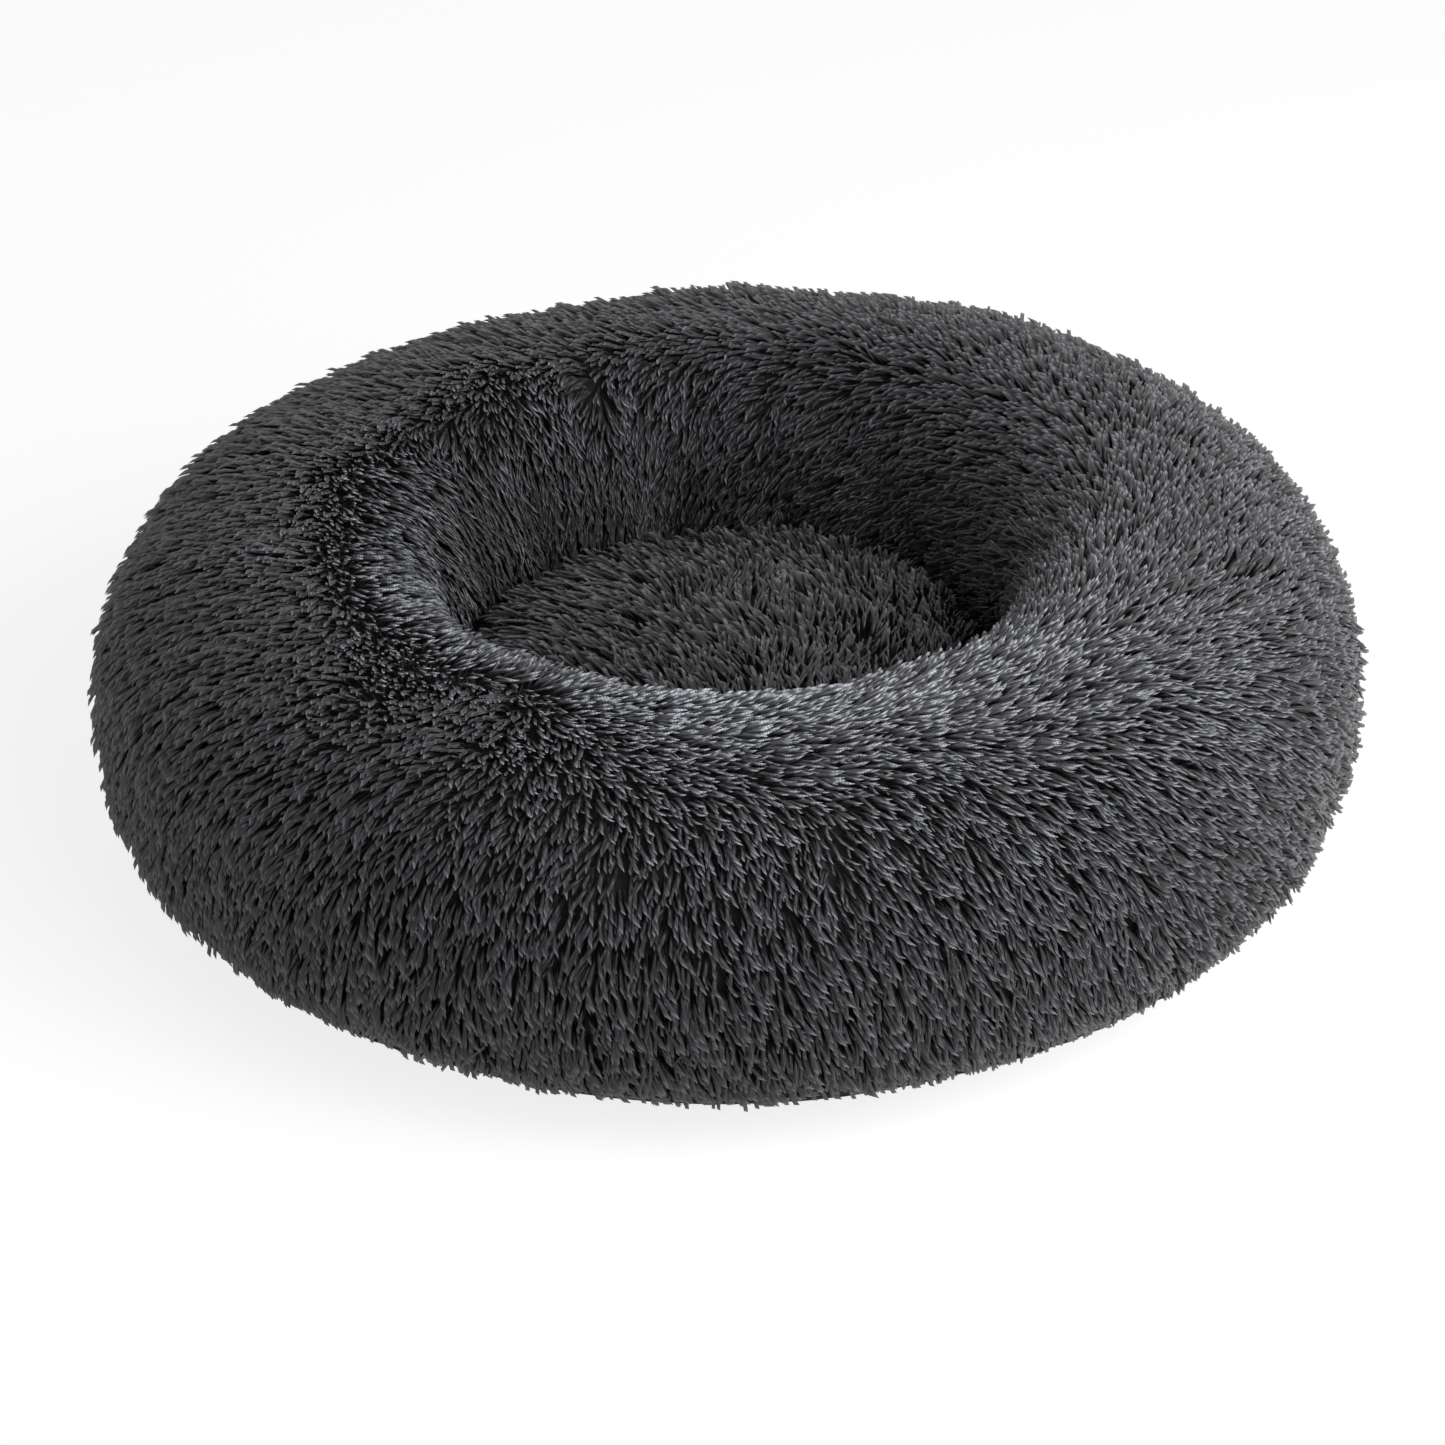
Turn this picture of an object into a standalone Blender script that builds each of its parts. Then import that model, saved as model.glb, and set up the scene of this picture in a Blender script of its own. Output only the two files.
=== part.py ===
"""Donut pet bed: a stuffed fur ring on a zipped base, with a loose round pad in its well.

Metres, +Z up. The origin is on the floor under the middle of the bed, and +Y points to the back,
where the zip is hidden. Solids are the pile's mean surface: single hairs are not modelled.
"""

import math

import bmesh
import bpy
from mathutils import Matrix, Vector

# Ring
well_radius = 0.1315
ring_width = 0.1650
crown_setback = 0.0525
ring_height = 0.1740
waist_height = 0.0840
well_waist_height = 0.0800
well_seam_setback = 0.0055
fur_thickness = 0.0080
hem_height = 0.0300
crown_roundness = 2.19
belly_roundness = 2.48

# How far the stuffed ring departs from a true turned shape
back_rise_share = 0.035
side_rise_share = 0.010
shoulder_rise_share = 0.022
shoulder_rise_angle = 25.0
lobe_share = 0.012
oval_share = 0.006

# Base
undercut = 0.0580
dot_height = 0.0012
dot_radius = 0.0035
dot_pitch = 0.0480
dot_margin = 0.0070
dot_sides = 6
panel_thickness = 0.0036
band_lap = 0.0010
band_thickness = 0.0024
lining_thickness = 0.0020
piping_radius = 0.0013
piping_sides = 5
binding_width = 0.0020

# Inner bag and clearances
liner_thickness = 0.0016
slit_angle = 18.0
slit_band = 0.0010
touch_gap = 0.0003
nest_gap = 0.0008

# Zip
zip_middle_angle = 90.0
zip_sweep = 97.5
tape_thickness = 0.0010
tape_gap = 0.0050
bead_width = 0.0006
chain_thickness = 0.0024
tooth_pitch = 0.0046
tooth_reach = 0.0009
tooth_root_width = 0.0011
tooth_head_width = 0.0019
stop_length = 0.0035
tab_length = 0.0140
tab_lap_share = 0.28
tab_thickness = 0.0010
tab_margin = 0.0050

# Slider and pull
slider_length = 0.0150
slider_front_width = 0.0118
slider_rear_width = 0.0094
wing_thickness = 0.0013
lip_width = 0.0010
running_clearance = 0.0004
wedge_width = 0.0024
wedge_length = 0.0048
loop_thickness = 0.0013
loop_width = 0.0016
pull_reach = 0.0148
pull_width = 0.0054
pull_thickness = 0.0012
pull_bar = 0.0014
pull_window_width = 0.0028
pull_hole_radius = 0.0012
pull_lift = 0.0013

# Pad in the well
pad_clearance = 0.0060
pad_waist_height = 0.0560
pad_edge_height = 0.0960
pad_crown = 0.0160
pad_draw_in = 0.0065
pad_seam_height = 0.0240
pad_foot_setback = 0.0130
pad_base_thickness = 0.0016
pad_ridge_height = 0.0080
pad_ridge_angle = 55.0
pad_hollow_depth = 0.0110
pad_hollow_radius = 0.0450
pad_hollow_offset = 0.0700
pad_hollow_angle = -12.0

# Facets: the zip's arc takes twice the facets of the ring, so that both share their corners
ring_segments = 48
fine_segments = 2 * ring_segments
pad_segments = 40
arc_points_count = 9

# Sizes that follow from the ones above
bed_radius = well_radius + ring_width
crown_radius = well_radius + crown_setback
well_seam_radius = well_radius + well_seam_setback
panel_radius = bed_radius - undercut
panel_bottom = dot_height
panel_top = panel_bottom + panel_thickness
lining_bottom = panel_top + touch_gap
lining_top = lining_bottom + lining_thickness
stuffing_bottom = lining_top + touch_gap
pad_radius = well_radius - pad_clearance
pad_seam_radius = pad_radius - pad_draw_in
pad_foot_radius = pad_seam_radius - pad_foot_setback
pad_top_height = pad_edge_height + pad_crown
zip_start_angle = zip_middle_angle - zip_sweep / 2
zip_end_angle = zip_middle_angle + zip_sweep / 2
weld_distance = touch_gap / 30


# Profiles of the ring, as (radius, height)

def superellipse(share, roundness):
    """Cosine and sine of a share of a quarter turn, squared off by the roundness."""
    angle = share * math.pi / 2
    return math.cos(angle) ** (2 / roundness), math.sin(angle) ** (2 / roundness)


def belly_point(share):
    """Outer skin below the waist, from the waist (0) down towards the floor (1)."""
    across, down = superellipse(share, belly_roundness)
    return crown_radius + (bed_radius - crown_radius) * across, waist_height * (1 - down)


def shoulder_point(share):
    """Outer skin from the waist (0) up to the crown (1)."""
    across, up = superellipse(share, crown_roundness)
    radius = crown_radius + (bed_radius - crown_radius) * across
    return radius, waist_height + (ring_height - waist_height) * up


def lip_point(share):
    """Inner skin from the crown (0) down to the narrowest place of the well (1)."""
    across, up = superellipse(1 - share, crown_roundness)
    radius = crown_radius - (crown_radius - well_radius) * across
    return radius, well_waist_height + (ring_height - well_waist_height) * up


def wall_point(share):
    """Inner skin from the narrowest place (0) down to the seam on the lining (1)."""
    radius = well_radius + (well_seam_radius - well_radius) * share ** 2
    return radius, well_waist_height + (stuffing_bottom - well_waist_height) * share


def belly_radius(height):
    """Radius of the outer skin at a height below the waist."""
    down = 1 - height / waist_height
    across = (1 - down ** belly_roundness) ** (1 / belly_roundness)
    return crown_radius + (bed_radius - crown_radius) * across


belly_shares = (0.28, 0.12, 0.0)
shoulder_shares = (0.12, 0.28, 0.50, 0.76)
lip_shares = (0.0, 0.28, 0.56, 0.80)
wall_shares = (0.0, 0.5, 1.0)


def skin_path():
    """The ring's outer skin from the hem over the crown to the seam in the well."""
    points = [(hem_radius, hem_height)]
    points += [belly_point(share) for share in belly_shares]
    points += [shoulder_point(share) for share in shoulder_shares]
    points += [lip_point(share) for share in lip_shares]
    points += [wall_point(share) for share in wall_shares]
    return points


def every_other(path):
    """The hem, the next point and then every other point of a path below the skin."""
    return path[:2] + path[2::2]


def inset_path(points, depth):
    """Move a path of (radius, height) points by a depth to its left, square to the path."""
    moved = []
    for i, (r, z) in enumerate(points):
        before = points[max(i - 1, 0)]
        after = points[min(i + 1, len(points) - 1)]
        first = Vector((r - before[0], z - before[1]))
        second = Vector((after[0] - r, after[1] - z))
        first = first.normalized() if first.length else second.normalized()
        second = second.normalized() if second.length else first
        along = (first + second).normalized()
        reach = depth / along.dot(first)
        moved.append((r - along.y * reach, z + along.x * reach))
    return moved


# The band that the zip lies in: s runs up its slope from the foot, n points out of it

hem_radius = belly_radius(hem_height)
hem_gap = touch_gap + hem_radius * (1 - math.cos(math.pi / ring_segments))
band_foot_radius = panel_radius - band_lap
band_foot_height = panel_top + touch_gap
band_length = math.hypot(hem_radius - band_foot_radius, hem_height - band_foot_height)
slope_r = (hem_radius - band_foot_radius) / band_length
slope_z = (hem_height - band_foot_height) / band_length


def band_point(s, n):
    """Radius and height of a place on the band's slope, n outwards from its face."""
    return (band_foot_radius + slope_r * s + slope_z * n,
            band_foot_height + slope_z * s - slope_r * n)


def band_section(s_low, s_high, n_low, n_high):
    """Closed four-cornered section of a strip lying in the band."""
    return [band_point(s_high, n_high), band_point(s_low, n_high),
            band_point(s_low, n_low), band_point(s_high, n_low)]


# Levels of the zip's pieces: its chain runs up the middle of the band
chain_place = band_length / 2
chain_radius = band_point(chain_place, 0.0)[0]
chain_middle = -tape_thickness / 2
chain_top = chain_middle + chain_thickness / 2
chain_bottom = chain_middle - chain_thickness / 2
bead_outer = tape_gap / 2 - touch_gap
bead_inner = bead_outer - bead_width
outer_wing_low = chain_top + running_clearance
outer_wing_high = outer_wing_low + wing_thickness
inner_wing_high = chain_bottom - running_clearance
inner_wing_low = inner_wing_high - wing_thickness
bar_level = outer_wing_high + pull_lift
loop_inner_radius = math.hypot(pull_bar / 2, pull_thickness / 2) + touch_gap
stop_middle = 2 * touch_gap + stop_length / 2
parked_place = stop_middle + stop_length / 2 + 2 * touch_gap + slider_length / 2


def angle_of(length):
    """Degrees round the bed that a length takes along the chain."""
    return math.degrees(length / chain_radius)


zip_parked_angle = zip_start_angle + angle_of(parked_place)


def band_frame(angle):
    """Matrix from (t, s, n) at the chain's middle to the bed: t along the zip, n out of the band."""
    turn = math.radians(angle)
    radius, height = band_point(chain_place, 0.0)
    along = Vector((-math.sin(turn), math.cos(turn), 0.0))
    up_slope = Vector((slope_r * math.cos(turn), slope_r * math.sin(turn), slope_z))
    out = along.cross(up_slope)
    frame = Matrix((along, up_slope, out)).transposed().to_4x4()
    frame.translation = Vector((radius * math.cos(turn), radius * math.sin(turn), height))
    return frame


# Making meshes

def fresh_scene():
    """Empty the scene and make one collection for the parts and one for the cutters."""
    for old in list(bpy.data.objects):
        bpy.data.objects.remove(old, do_unlink=True)
    made = []
    for name in ("donut_pet_bed", "cutters"):
        group = bpy.data.collections.new(name)
        bpy.context.scene.collection.children.link(group)
        made.append(group)
    return made


def material(name, colour, roughness, metallic=0.0):
    """A Principled material."""
    mat = bpy.data.materials.new(name)
    mat.use_nodes = True
    shader = mat.node_tree.nodes["Principled BSDF"]
    shader.inputs["Base Color"].default_value = (*colour, 1.0)
    shader.inputs["Roughness"].default_value = roughness
    shader.inputs["Metallic"].default_value = metallic
    return mat


def add_object(name, data, mat=None, parent=None):
    """Put mesh or curve data into the parts collection under its name."""
    obj = bpy.data.objects.new(name, data)
    parts.objects.link(obj)
    if mat is not None:
        data.materials.clear()
        data.materials.append(mat)
    if parent is not None:
        obj.parent = parent
    return obj


def add_empty(name, parent=None):
    """An empty that a moving piece turns about."""
    return add_object(name, None, None, parent)


def mesh_of(bm, name):
    """A mesh from a bmesh, with its faces turned outwards."""
    bmesh.ops.recalc_face_normals(bm, faces=bm.faces)
    mesh = bpy.data.meshes.new(name)
    bm.to_mesh(mesh)
    bm.free()
    return mesh


def evaluated_mesh(obj):
    """A plain mesh of the object with its modifiers applied and its coincident points welded."""
    graph = bpy.context.evaluated_depsgraph_get()
    mesh = bpy.data.meshes.new_from_object(obj.evaluated_get(graph))
    bm = bmesh.new()
    bm.from_mesh(mesh)
    bmesh.ops.remove_doubles(bm, verts=bm.verts, dist=weld_distance)
    bmesh.ops.recalc_face_normals(bm, faces=bm.faces)
    bm.to_mesh(mesh)
    bm.free()
    return mesh


def settled_mesh(obj):
    """The welded mesh of a temporary object, which is then removed."""
    mesh = evaluated_mesh(obj)
    bpy.data.objects.remove(obj, do_unlink=True)
    return mesh


def smooth(mesh, angle=35.0):
    """Shade a round piece smooth, with its real corners kept sharp."""
    mesh.shade_smooth()
    mesh.set_sharp_from_angle(angle=math.radians(angle))


def turned_mesh(name, points, steps, closed=True, start=0.0, sweep=360.0):
    """Turn a profile of (radius, height) points about +Z and close the ends of a partial turn."""
    profile = bpy.data.meshes.new(name)
    count = len(points)
    edges = [(i, i + 1) for i in range(count - 1)]
    if closed:
        edges.append((count - 1, 0))
    profile.from_pydata([(r, 0.0, z) for r, z in points], edges, [])
    obj = add_object(name, profile)
    screw = obj.modifiers.new("Turn", 'SCREW')
    screw.axis = 'Z'
    screw.angle = math.radians(sweep)
    screw.steps = steps
    screw.render_steps = steps
    screw.use_merge_vertices = True
    screw.merge_threshold = weld_distance
    bm = bmesh.new()
    bm.from_mesh(settled_mesh(obj))
    rim = [edge for edge in bm.edges if edge.is_boundary]
    if rim:
        bmesh.ops.holes_fill(bm, edges=rim, sides=0)
    turn = Matrix.Rotation(math.radians(start), 3, 'Z')
    bmesh.ops.rotate(bm, verts=bm.verts, cent=(0, 0, 0), matrix=turn)
    return mesh_of(bm, name)


def flat_outline(name, outlines, thickness, level=0.0):
    """A flat piece about a level: closed outlines, filled, with a thickness."""
    curve = bpy.data.curves.new(name, 'CURVE')
    curve.dimensions = '2D'
    curve.fill_mode = 'BOTH'
    curve.extrude = thickness / 2
    for outline in outlines:
        spline = curve.splines.new('POLY')
        spline.points.add(len(outline) - 1)
        for point, (x, y) in zip(spline.points, outline):
            point.co = (x, y, 0.0, 1.0)
        spline.use_cyclic_u = True
    mesh = settled_mesh(add_object(name, curve))
    mesh.transform(Matrix.Translation((0, 0, level)))
    return mesh


def arc(radius, start, end, count, centre=(0.0, 0.0)):
    """Points on an arc between two angles in degrees."""
    turns = [math.radians(start + (end - start) * i / (count - 1)) for i in range(count)]
    return [(centre[0] + radius * math.cos(a), centre[1] + radius * math.sin(a)) for a in turns]


def turned_strip(name, section, start, end, mat):
    """A strip of the band turned between two angles."""
    steps = max(round((end - start) * fine_segments / 360.0), 1)
    mesh = turned_mesh(name, section, steps, True, start, end - start)
    smooth(mesh)
    add_object(name, mesh, mat)


def disc(name, radius, bottom, thickness, mat):
    """A flat round piece lying at a height."""
    bm = bmesh.new()
    bmesh.ops.create_cone(
        bm, cap_ends=True, segments=ring_segments, radius1=radius, radius2=radius, depth=thickness)
    bmesh.ops.translate(bm, verts=bm.verts, vec=(0, 0, bottom + thickness / 2))
    return add_object(name, mesh_of(bm, name), mat)


def square_ring(name, inner, outer, low, high, segments, mat):
    """A turned ring of square section."""
    section = [(outer, high), (outer, low), (inner, low), (inner, high)]
    add_object(name, turned_mesh(name, section, segments), mat)


# Stuffed ring

def eased(value, low, high):
    """How far a value has gone from low to high, as a share with soft ends."""
    share = min(max((value - low) / (high - low), 0.0), 1.0)
    return share * share * (3 - 2 * share)


def swell(mesh):
    """Give the turned ring the rises at its back and right and the soft lobes of a stuffed bag."""
    for vertex in mesh.vertices:
        x, y, z = vertex.co
        turn = math.atan2(y, x)
        outward = max(math.hypot(x, y) - well_radius - fur_thickness, 0.0) / ring_width
        lobes = lobe_share * (math.sin(3 * turn) + math.sin(turn)) + oval_share * math.sin(2 * turn)
        facing = max(math.cos(turn - math.radians(shoulder_rise_angle)), 0.0)
        rise = back_rise_share * math.sin(turn) + side_rise_share * math.cos(turn) + shoulder_rise_share * facing ** 2
        grow = 1 + lobes * outward * eased(z, hem_height, waist_height)
        vertex.co = (x * grow, y * grow, z * (1 + rise * eased(z, hem_height, ring_height)))


def ring_cover():
    """The fur cover: a thick skin from the hem over the crown to the seam in the well."""
    outer = skin_path()
    inner = inset_path(outer, fur_thickness)
    inner[0] = band_point(band_length, -fur_thickness)
    inner[-1] = (inner[-1][0], outer[-1][1])
    mesh = turned_mesh("ring_cover", outer + every_other(inner)[::-1], ring_segments)
    swell(mesh)
    smooth(mesh)
    add_object("ring_cover", mesh, fur)


def bag_section(depth, floor):
    """Closed section of what lies inside the cover, at a depth below its skin, on a floor."""
    path = inset_path([(band_foot_radius, band_foot_height)] + skin_path(), depth)
    foot_radius = path[0][0] + (floor - path[0][1]) * slope_r / slope_z
    path[0] = (foot_radius, floor)
    path[-1] = (path[-1][0], floor)
    return path[:1] + every_other(path[1:])


def ring_liner():
    """The inner bag of the ring, with the slit it is filled through on its underside at the back."""
    section = bag_section(fur_thickness + nest_gap, stuffing_bottom)
    mesh = turned_mesh("ring_liner", section, ring_segments)
    swell(mesh)
    bm = bmesh.new()
    bm.from_mesh(mesh)
    slit = []
    for face in bm.faces:
        middle = face.calc_center_median()
        turn = math.degrees(math.atan2(middle.y, middle.x))
        at_back = abs(turn - zip_middle_angle) < slit_angle / 2
        if at_back and middle.z < stuffing_bottom + slit_band:
            slit.append(face)
    bmesh.ops.delete(bm, geom=slit, context='FACES')
    bm.to_mesh(mesh)
    bm.free()
    smooth(mesh)
    obj = add_object("ring_liner", mesh, liner_cloth)
    wall = obj.modifiers.new("Wall", 'SOLIDIFY')
    wall.thickness = liner_thickness
    wall.offset = -1.0


def ring_filling():
    """The fibre filling of the ring."""
    inside = liner_thickness + nest_gap
    section = bag_section(fur_thickness + nest_gap + inside, stuffing_bottom + inside)
    mesh = turned_mesh("ring_filling", section, ring_segments)
    swell(mesh)
    smooth(mesh)
    add_object("ring_filling", mesh, fibre)


def well_seam_binding():
    """The bound seam where the ring's inner wall stands on the lining."""
    outer = well_seam_radius - 2 * touch_gap
    low = lining_top + touch_gap
    square_ring("well_seam_binding", outer - binding_width, outer, low, low + binding_width,
                ring_segments, binding_cloth)


# Base

def grip_places():
    """Places of the non-slip dots: a triangular lattice inside the panel's edge."""
    row_step = dot_pitch * math.sqrt(3) / 2
    limit = panel_radius - dot_margin - dot_radius
    rows = int(limit / row_step)
    columns = int(limit / dot_pitch) + 1
    places = []
    for row in range(-rows, rows + 1):
        shift = dot_pitch / 2 if row % 2 else 0.0
        for column in range(-columns, columns + 1):
            x = column * dot_pitch + shift
            if math.hypot(x, row * row_step) < limit:
                places.append((x, row * row_step))
    return places


def base_panel():
    """The base cloth on its stiffener, with the non-slip dots joined on underneath."""
    panel = disc("base_panel", panel_radius, panel_bottom, panel_thickness, base_cloth)
    bm = bmesh.new()
    depth = dot_height + panel_thickness / 2
    for x, y in grip_places():
        dot = bmesh.ops.create_cone(
            bm, cap_ends=True, segments=dot_sides, radius1=dot_radius, radius2=dot_radius, depth=depth)
        bmesh.ops.translate(bm, verts=dot["verts"], vec=(x, y, depth / 2))
    dots = bpy.data.objects.new("grip_dots", mesh_of(bm, "grip_dots"))
    cutters.objects.link(dots)
    dots.hide_render = True
    dots.display_type = 'WIRE'
    join = panel.modifiers.new("Dots", 'BOOLEAN')
    join.operation = 'UNION'
    join.object = dots


def base_piping():
    """The corded edge round the base panel."""
    middle = (panel_radius + touch_gap + piping_radius, panel_bottom + panel_thickness / 2)
    section = arc(piping_radius, 0.0, 360.0 - 360.0 / piping_sides, piping_sides, middle)
    mesh = turned_mesh("base_piping", section, ring_segments)
    smooth(mesh, 80.0)
    add_object("base_piping", mesh, base_cloth)


def base_band():
    """The turned-up strip of base cloth, open where the zip is."""
    section = band_section(touch_gap, band_length - hem_gap, -band_thickness, 0.0)
    gap = angle_of(touch_gap)
    turned_strip("base_band", section, zip_end_angle + gap, zip_start_angle + 360.0 - gap, base_cloth)


def floor_lining():
    """The lining disc over the base panel."""
    radius = band_point(touch_gap, -band_thickness)[0] - 2 * touch_gap
    disc("floor_lining", radius, lining_bottom, lining_thickness, lining_cloth)


# Zip

def zip_tapes():
    """The two tapes, sewn to the band's foot and to the hem of the fur."""
    low = band_section(touch_gap, chain_place - tape_gap / 2, -tape_thickness, 0.0)
    high = band_section(chain_place + tape_gap / 2, band_length - hem_gap, -tape_thickness, 0.0)
    turned_strip("zip_tape_lower", low, zip_start_angle, zip_end_angle, tape_cloth)
    turned_strip("zip_tape_upper", high, zip_start_angle, zip_end_angle, tape_cloth)


def tooth_places(offset_share):
    """Places of one row's teeth along the chain, from behind the parked slider's wedge."""
    first = parked_place + tooth_pitch * (1 + offset_share) / 2
    last = math.radians(zip_sweep) * chain_radius - stop_middle - stop_length / 2 - tooth_pitch / 2
    count = int((last - first) / tooth_pitch)
    return [first + i * tooth_pitch for i in range(count + 1)]


def rack_mesh(name, offset_share):
    """One row laid out flat: a bead with a tooth, broad at its head, at each pitch."""
    places = tooth_places(offset_share)
    stations = [touch_gap]
    for place in places:
        stations += [place - tooth_root_width / 2, place + tooth_root_width / 2]
    stations.append(math.radians(zip_sweep) * chain_radius - touch_gap)
    bm = bmesh.new()
    back = [bm.verts.new((t, bead_outer, 0.0)) for t in stations]
    front = [bm.verts.new((t, bead_inner, 0.0)) for t in stations]
    for i in range(len(stations) - 1):
        bm.faces.new((front[i], front[i + 1], back[i + 1], back[i]))
    for i, place in enumerate(places):
        left = bm.verts.new((place - tooth_head_width / 2, -tooth_reach, 0.0))
        right = bm.verts.new((place + tooth_head_width / 2, -tooth_reach, 0.0))
        bm.faces.new((left, right, front[2 * i + 2], front[2 * i + 1]))
    obj = add_object(name, mesh_of(bm, name))
    wall = obj.modifiers.new("Thickness", 'SOLIDIFY')
    wall.thickness = chain_thickness
    wall.offset = 0.0
    return settled_mesh(obj)


def zip_teeth(name, side, offset_share):
    """One row of teeth on its bead: a flat rack, laid round the band's slope."""
    mesh = rack_mesh(name, offset_share)
    for vertex in mesh.vertices:
        t, s, n = vertex.co
        radius, height = band_point(chain_place + side * s, chain_middle + n)
        angle = math.radians(zip_start_angle) + t / chain_radius
        vertex.co = (radius * math.cos(angle), radius * math.sin(angle), height)
    bm = bmesh.new()
    bm.from_mesh(mesh)
    add_object(name, mesh_of(bm, name), tooth_plastic)


def zip_ends():
    """The stop across the chain and the cloth tab across the tapes, at each end of the zip."""
    width = 2 * (bead_inner - touch_gap)
    lift = chain_top + touch_gap
    section = band_section(tab_margin, band_length - tab_margin, lift, lift + tab_thickness)
    for word, angle, inward in (("closed", zip_start_angle, 1), ("open", zip_end_angle, -1)):
        bm = bmesh.new()
        bmesh.ops.create_cube(bm, size=1.0)
        bmesh.ops.scale(bm, verts=bm.verts, vec=(stop_length, width, chain_thickness))
        bmesh.ops.translate(bm, verts=bm.verts, vec=(0, 0, chain_middle))
        stop = add_object("zip_stop_" + word, mesh_of(bm, "zip_stop_" + word), zip_metal)
        stop.matrix_world = band_frame(angle + inward * angle_of(stop_middle))
        outside = angle - inward * angle_of(tab_length * (1 - tab_lap_share))
        inside = angle + inward * angle_of(tab_length * tab_lap_share)
        turned_strip("zip_end_tab_" + word, section, min(outside, inside), max(outside, inside), tape_cloth)


# Slider, in the frame of the band at the chain: x along the zip, y up the slope, z out of the band

wing_notch_share = 0.22
wing_cheek_share = 0.72
wing_corner_share = 0.30
wedge_blunt_share = 0.70
wedge_broad_share = 0.35
slider_front = -slider_length / 2
slider_rear = slider_length / 2
cheek = slider_front_width / 8


def wing_outline():
    """Outline of a slider wing: broad with a notch at the front, narrower at the rear."""
    wide = slider_front_width / 2
    narrow = slider_rear_width / 2
    corner = slider_rear - narrow * wing_corner_share
    upper = [(slider_front, wide * wing_cheek_share), (slider_front + cheek, wide), (0.0, wide),
             (corner, narrow), (slider_rear, narrow * (1 - wing_corner_share))]
    lower = [(x, -y) for x, y in reversed(upper)]
    return [(slider_front + wide * wing_notch_share, 0.0)] + upper + lower


def lip_outline(side):
    """Outline of the lip along one side of a wing."""
    front = slider_front + cheek + touch_gap
    rear = slider_rear - slider_rear_width / 2 * wing_corner_share - touch_gap
    wide = slider_front_width / 2 - touch_gap
    narrow = slider_rear_width / 2 - touch_gap
    outline = [(front, wide), (0.0, wide), (rear, narrow),
               (rear, narrow - lip_width), (0.0, wide - lip_width), (front, wide - lip_width)]
    return [(x, side * y) for x, y in outline]


def wedge_outline():
    """Outline of the wedge that parts the two rows, pointed towards the meshed chain."""
    front = slider_front + 2 * cheek
    half = wedge_width / 2
    broad = front + wedge_length * wedge_broad_share
    return [(front, half * wedge_blunt_share), (front, -half * wedge_blunt_share), (broad, -half),
            (front + wedge_length, 0.0), (broad, half)]


def loop_outline():
    """Side view of the loop that holds the pull: half a ring on two straight feet."""
    outer = loop_inner_radius + loop_thickness
    sink = pull_lift + wing_thickness / 2
    outside = [(outer, -sink)] + arc(outer, 0.0, 180.0, arc_points_count) + [(-outer, -sink)]
    inside = arc(loop_inner_radius, 180.0, 0.0, arc_points_count)
    return outside + [(-loop_inner_radius, -sink)] + inside + [(loop_inner_radius, -sink)]


def join_piece(target, mesh):
    """Join a mesh to the target object for good."""
    tool = add_object("joined_piece", mesh)
    join = target.modifiers.new("Join", 'BOOLEAN')
    join.operation = 'UNION'
    join.object = tool
    target.data = evaluated_mesh(target)
    target.modifiers.remove(join)
    bpy.data.objects.remove(tool, do_unlink=True)


def zip_slider():
    """The slider: two lipped wings joined by the wedge, with the loop for the pull on top."""
    carrier = add_empty("zip_slide_axis")
    sink = touch_gap / 2
    wedge_low = inner_wing_high - sink
    wedge_high = outer_wing_low + sink
    lip_floor = running_clearance
    lip_ceiling = -tape_thickness - running_clearance
    outer_lip = outer_wing_low + sink - lip_floor
    inner_lip = lip_ceiling - inner_wing_high + sink
    outer_level = (outer_wing_low + outer_wing_high) / 2
    inner_level = (inner_wing_low + inner_wing_high) / 2
    wing = flat_outline("zip_slider", [wing_outline()], wing_thickness, outer_level)
    slider = add_object("zip_slider", wing, zip_metal)
    join_piece(slider, flat_outline(
        "wedge", [wedge_outline()], wedge_high - wedge_low, (wedge_low + wedge_high) / 2))
    join_piece(slider, flat_outline("inner_wing", [wing_outline()], wing_thickness, inner_level))
    for side in (1, -1):
        join_piece(slider, flat_outline(
            "outer_lip", [lip_outline(side)], outer_lip, lip_floor + outer_lip / 2))
        join_piece(slider, flat_outline(
            "inner_lip", [lip_outline(side)], inner_lip, lip_ceiling - inner_lip / 2))
    loop = flat_outline("pull_loop", [loop_outline()], loop_width)
    loop.transform(Matrix.Translation((0, 0, bar_level)) @ Matrix.Rotation(math.pi / 2, 4, 'X'))
    join_piece(slider, loop)
    slider.data.materials.clear()
    slider.data.materials.append(zip_metal)
    slider.parent = carrier
    slider.matrix_world = band_frame(zip_parked_angle)
    return carrier


def zip_pull(carrier):
    """The pull tab, hanging by its bar in the slider's loop, with a window and a hole in its grip."""
    half = pull_width / 2
    back = pull_bar / 2
    front = loop_inner_radius + loop_thickness + 3 * touch_gap
    tip = pull_reach - half
    outline = [(-back, -half)] + arc(half, -90.0, 90.0, arc_points_count, (tip, 0.0)) + [(-back, half)]
    window = pull_window_width / 2
    opening = [(back, window), (front, window), (front, -window), (back, -window)]
    step = 360.0 / arc_points_count
    hole = arc(pull_hole_radius, 360.0 - step, 0.0, arc_points_count, (tip, 0.0))
    mesh = flat_outline("zip_pull", [outline, opening, hole], pull_thickness)
    hinge = add_empty("pull_hinge", carrier)
    hinge.matrix_world = (band_frame(zip_parked_angle) @ Matrix.Translation((0, 0, bar_level))
                          @ Matrix.Rotation(-math.pi / 2, 4, 'Y'))
    add_object("zip_pull", mesh, zip_metal, hinge)


# Pad in the well

pad_side_share = 0.80
pad_shoulder_share = 0.84
pad_dome_shares = (0.80, 0.62, 0.42, 0.22)


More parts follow.
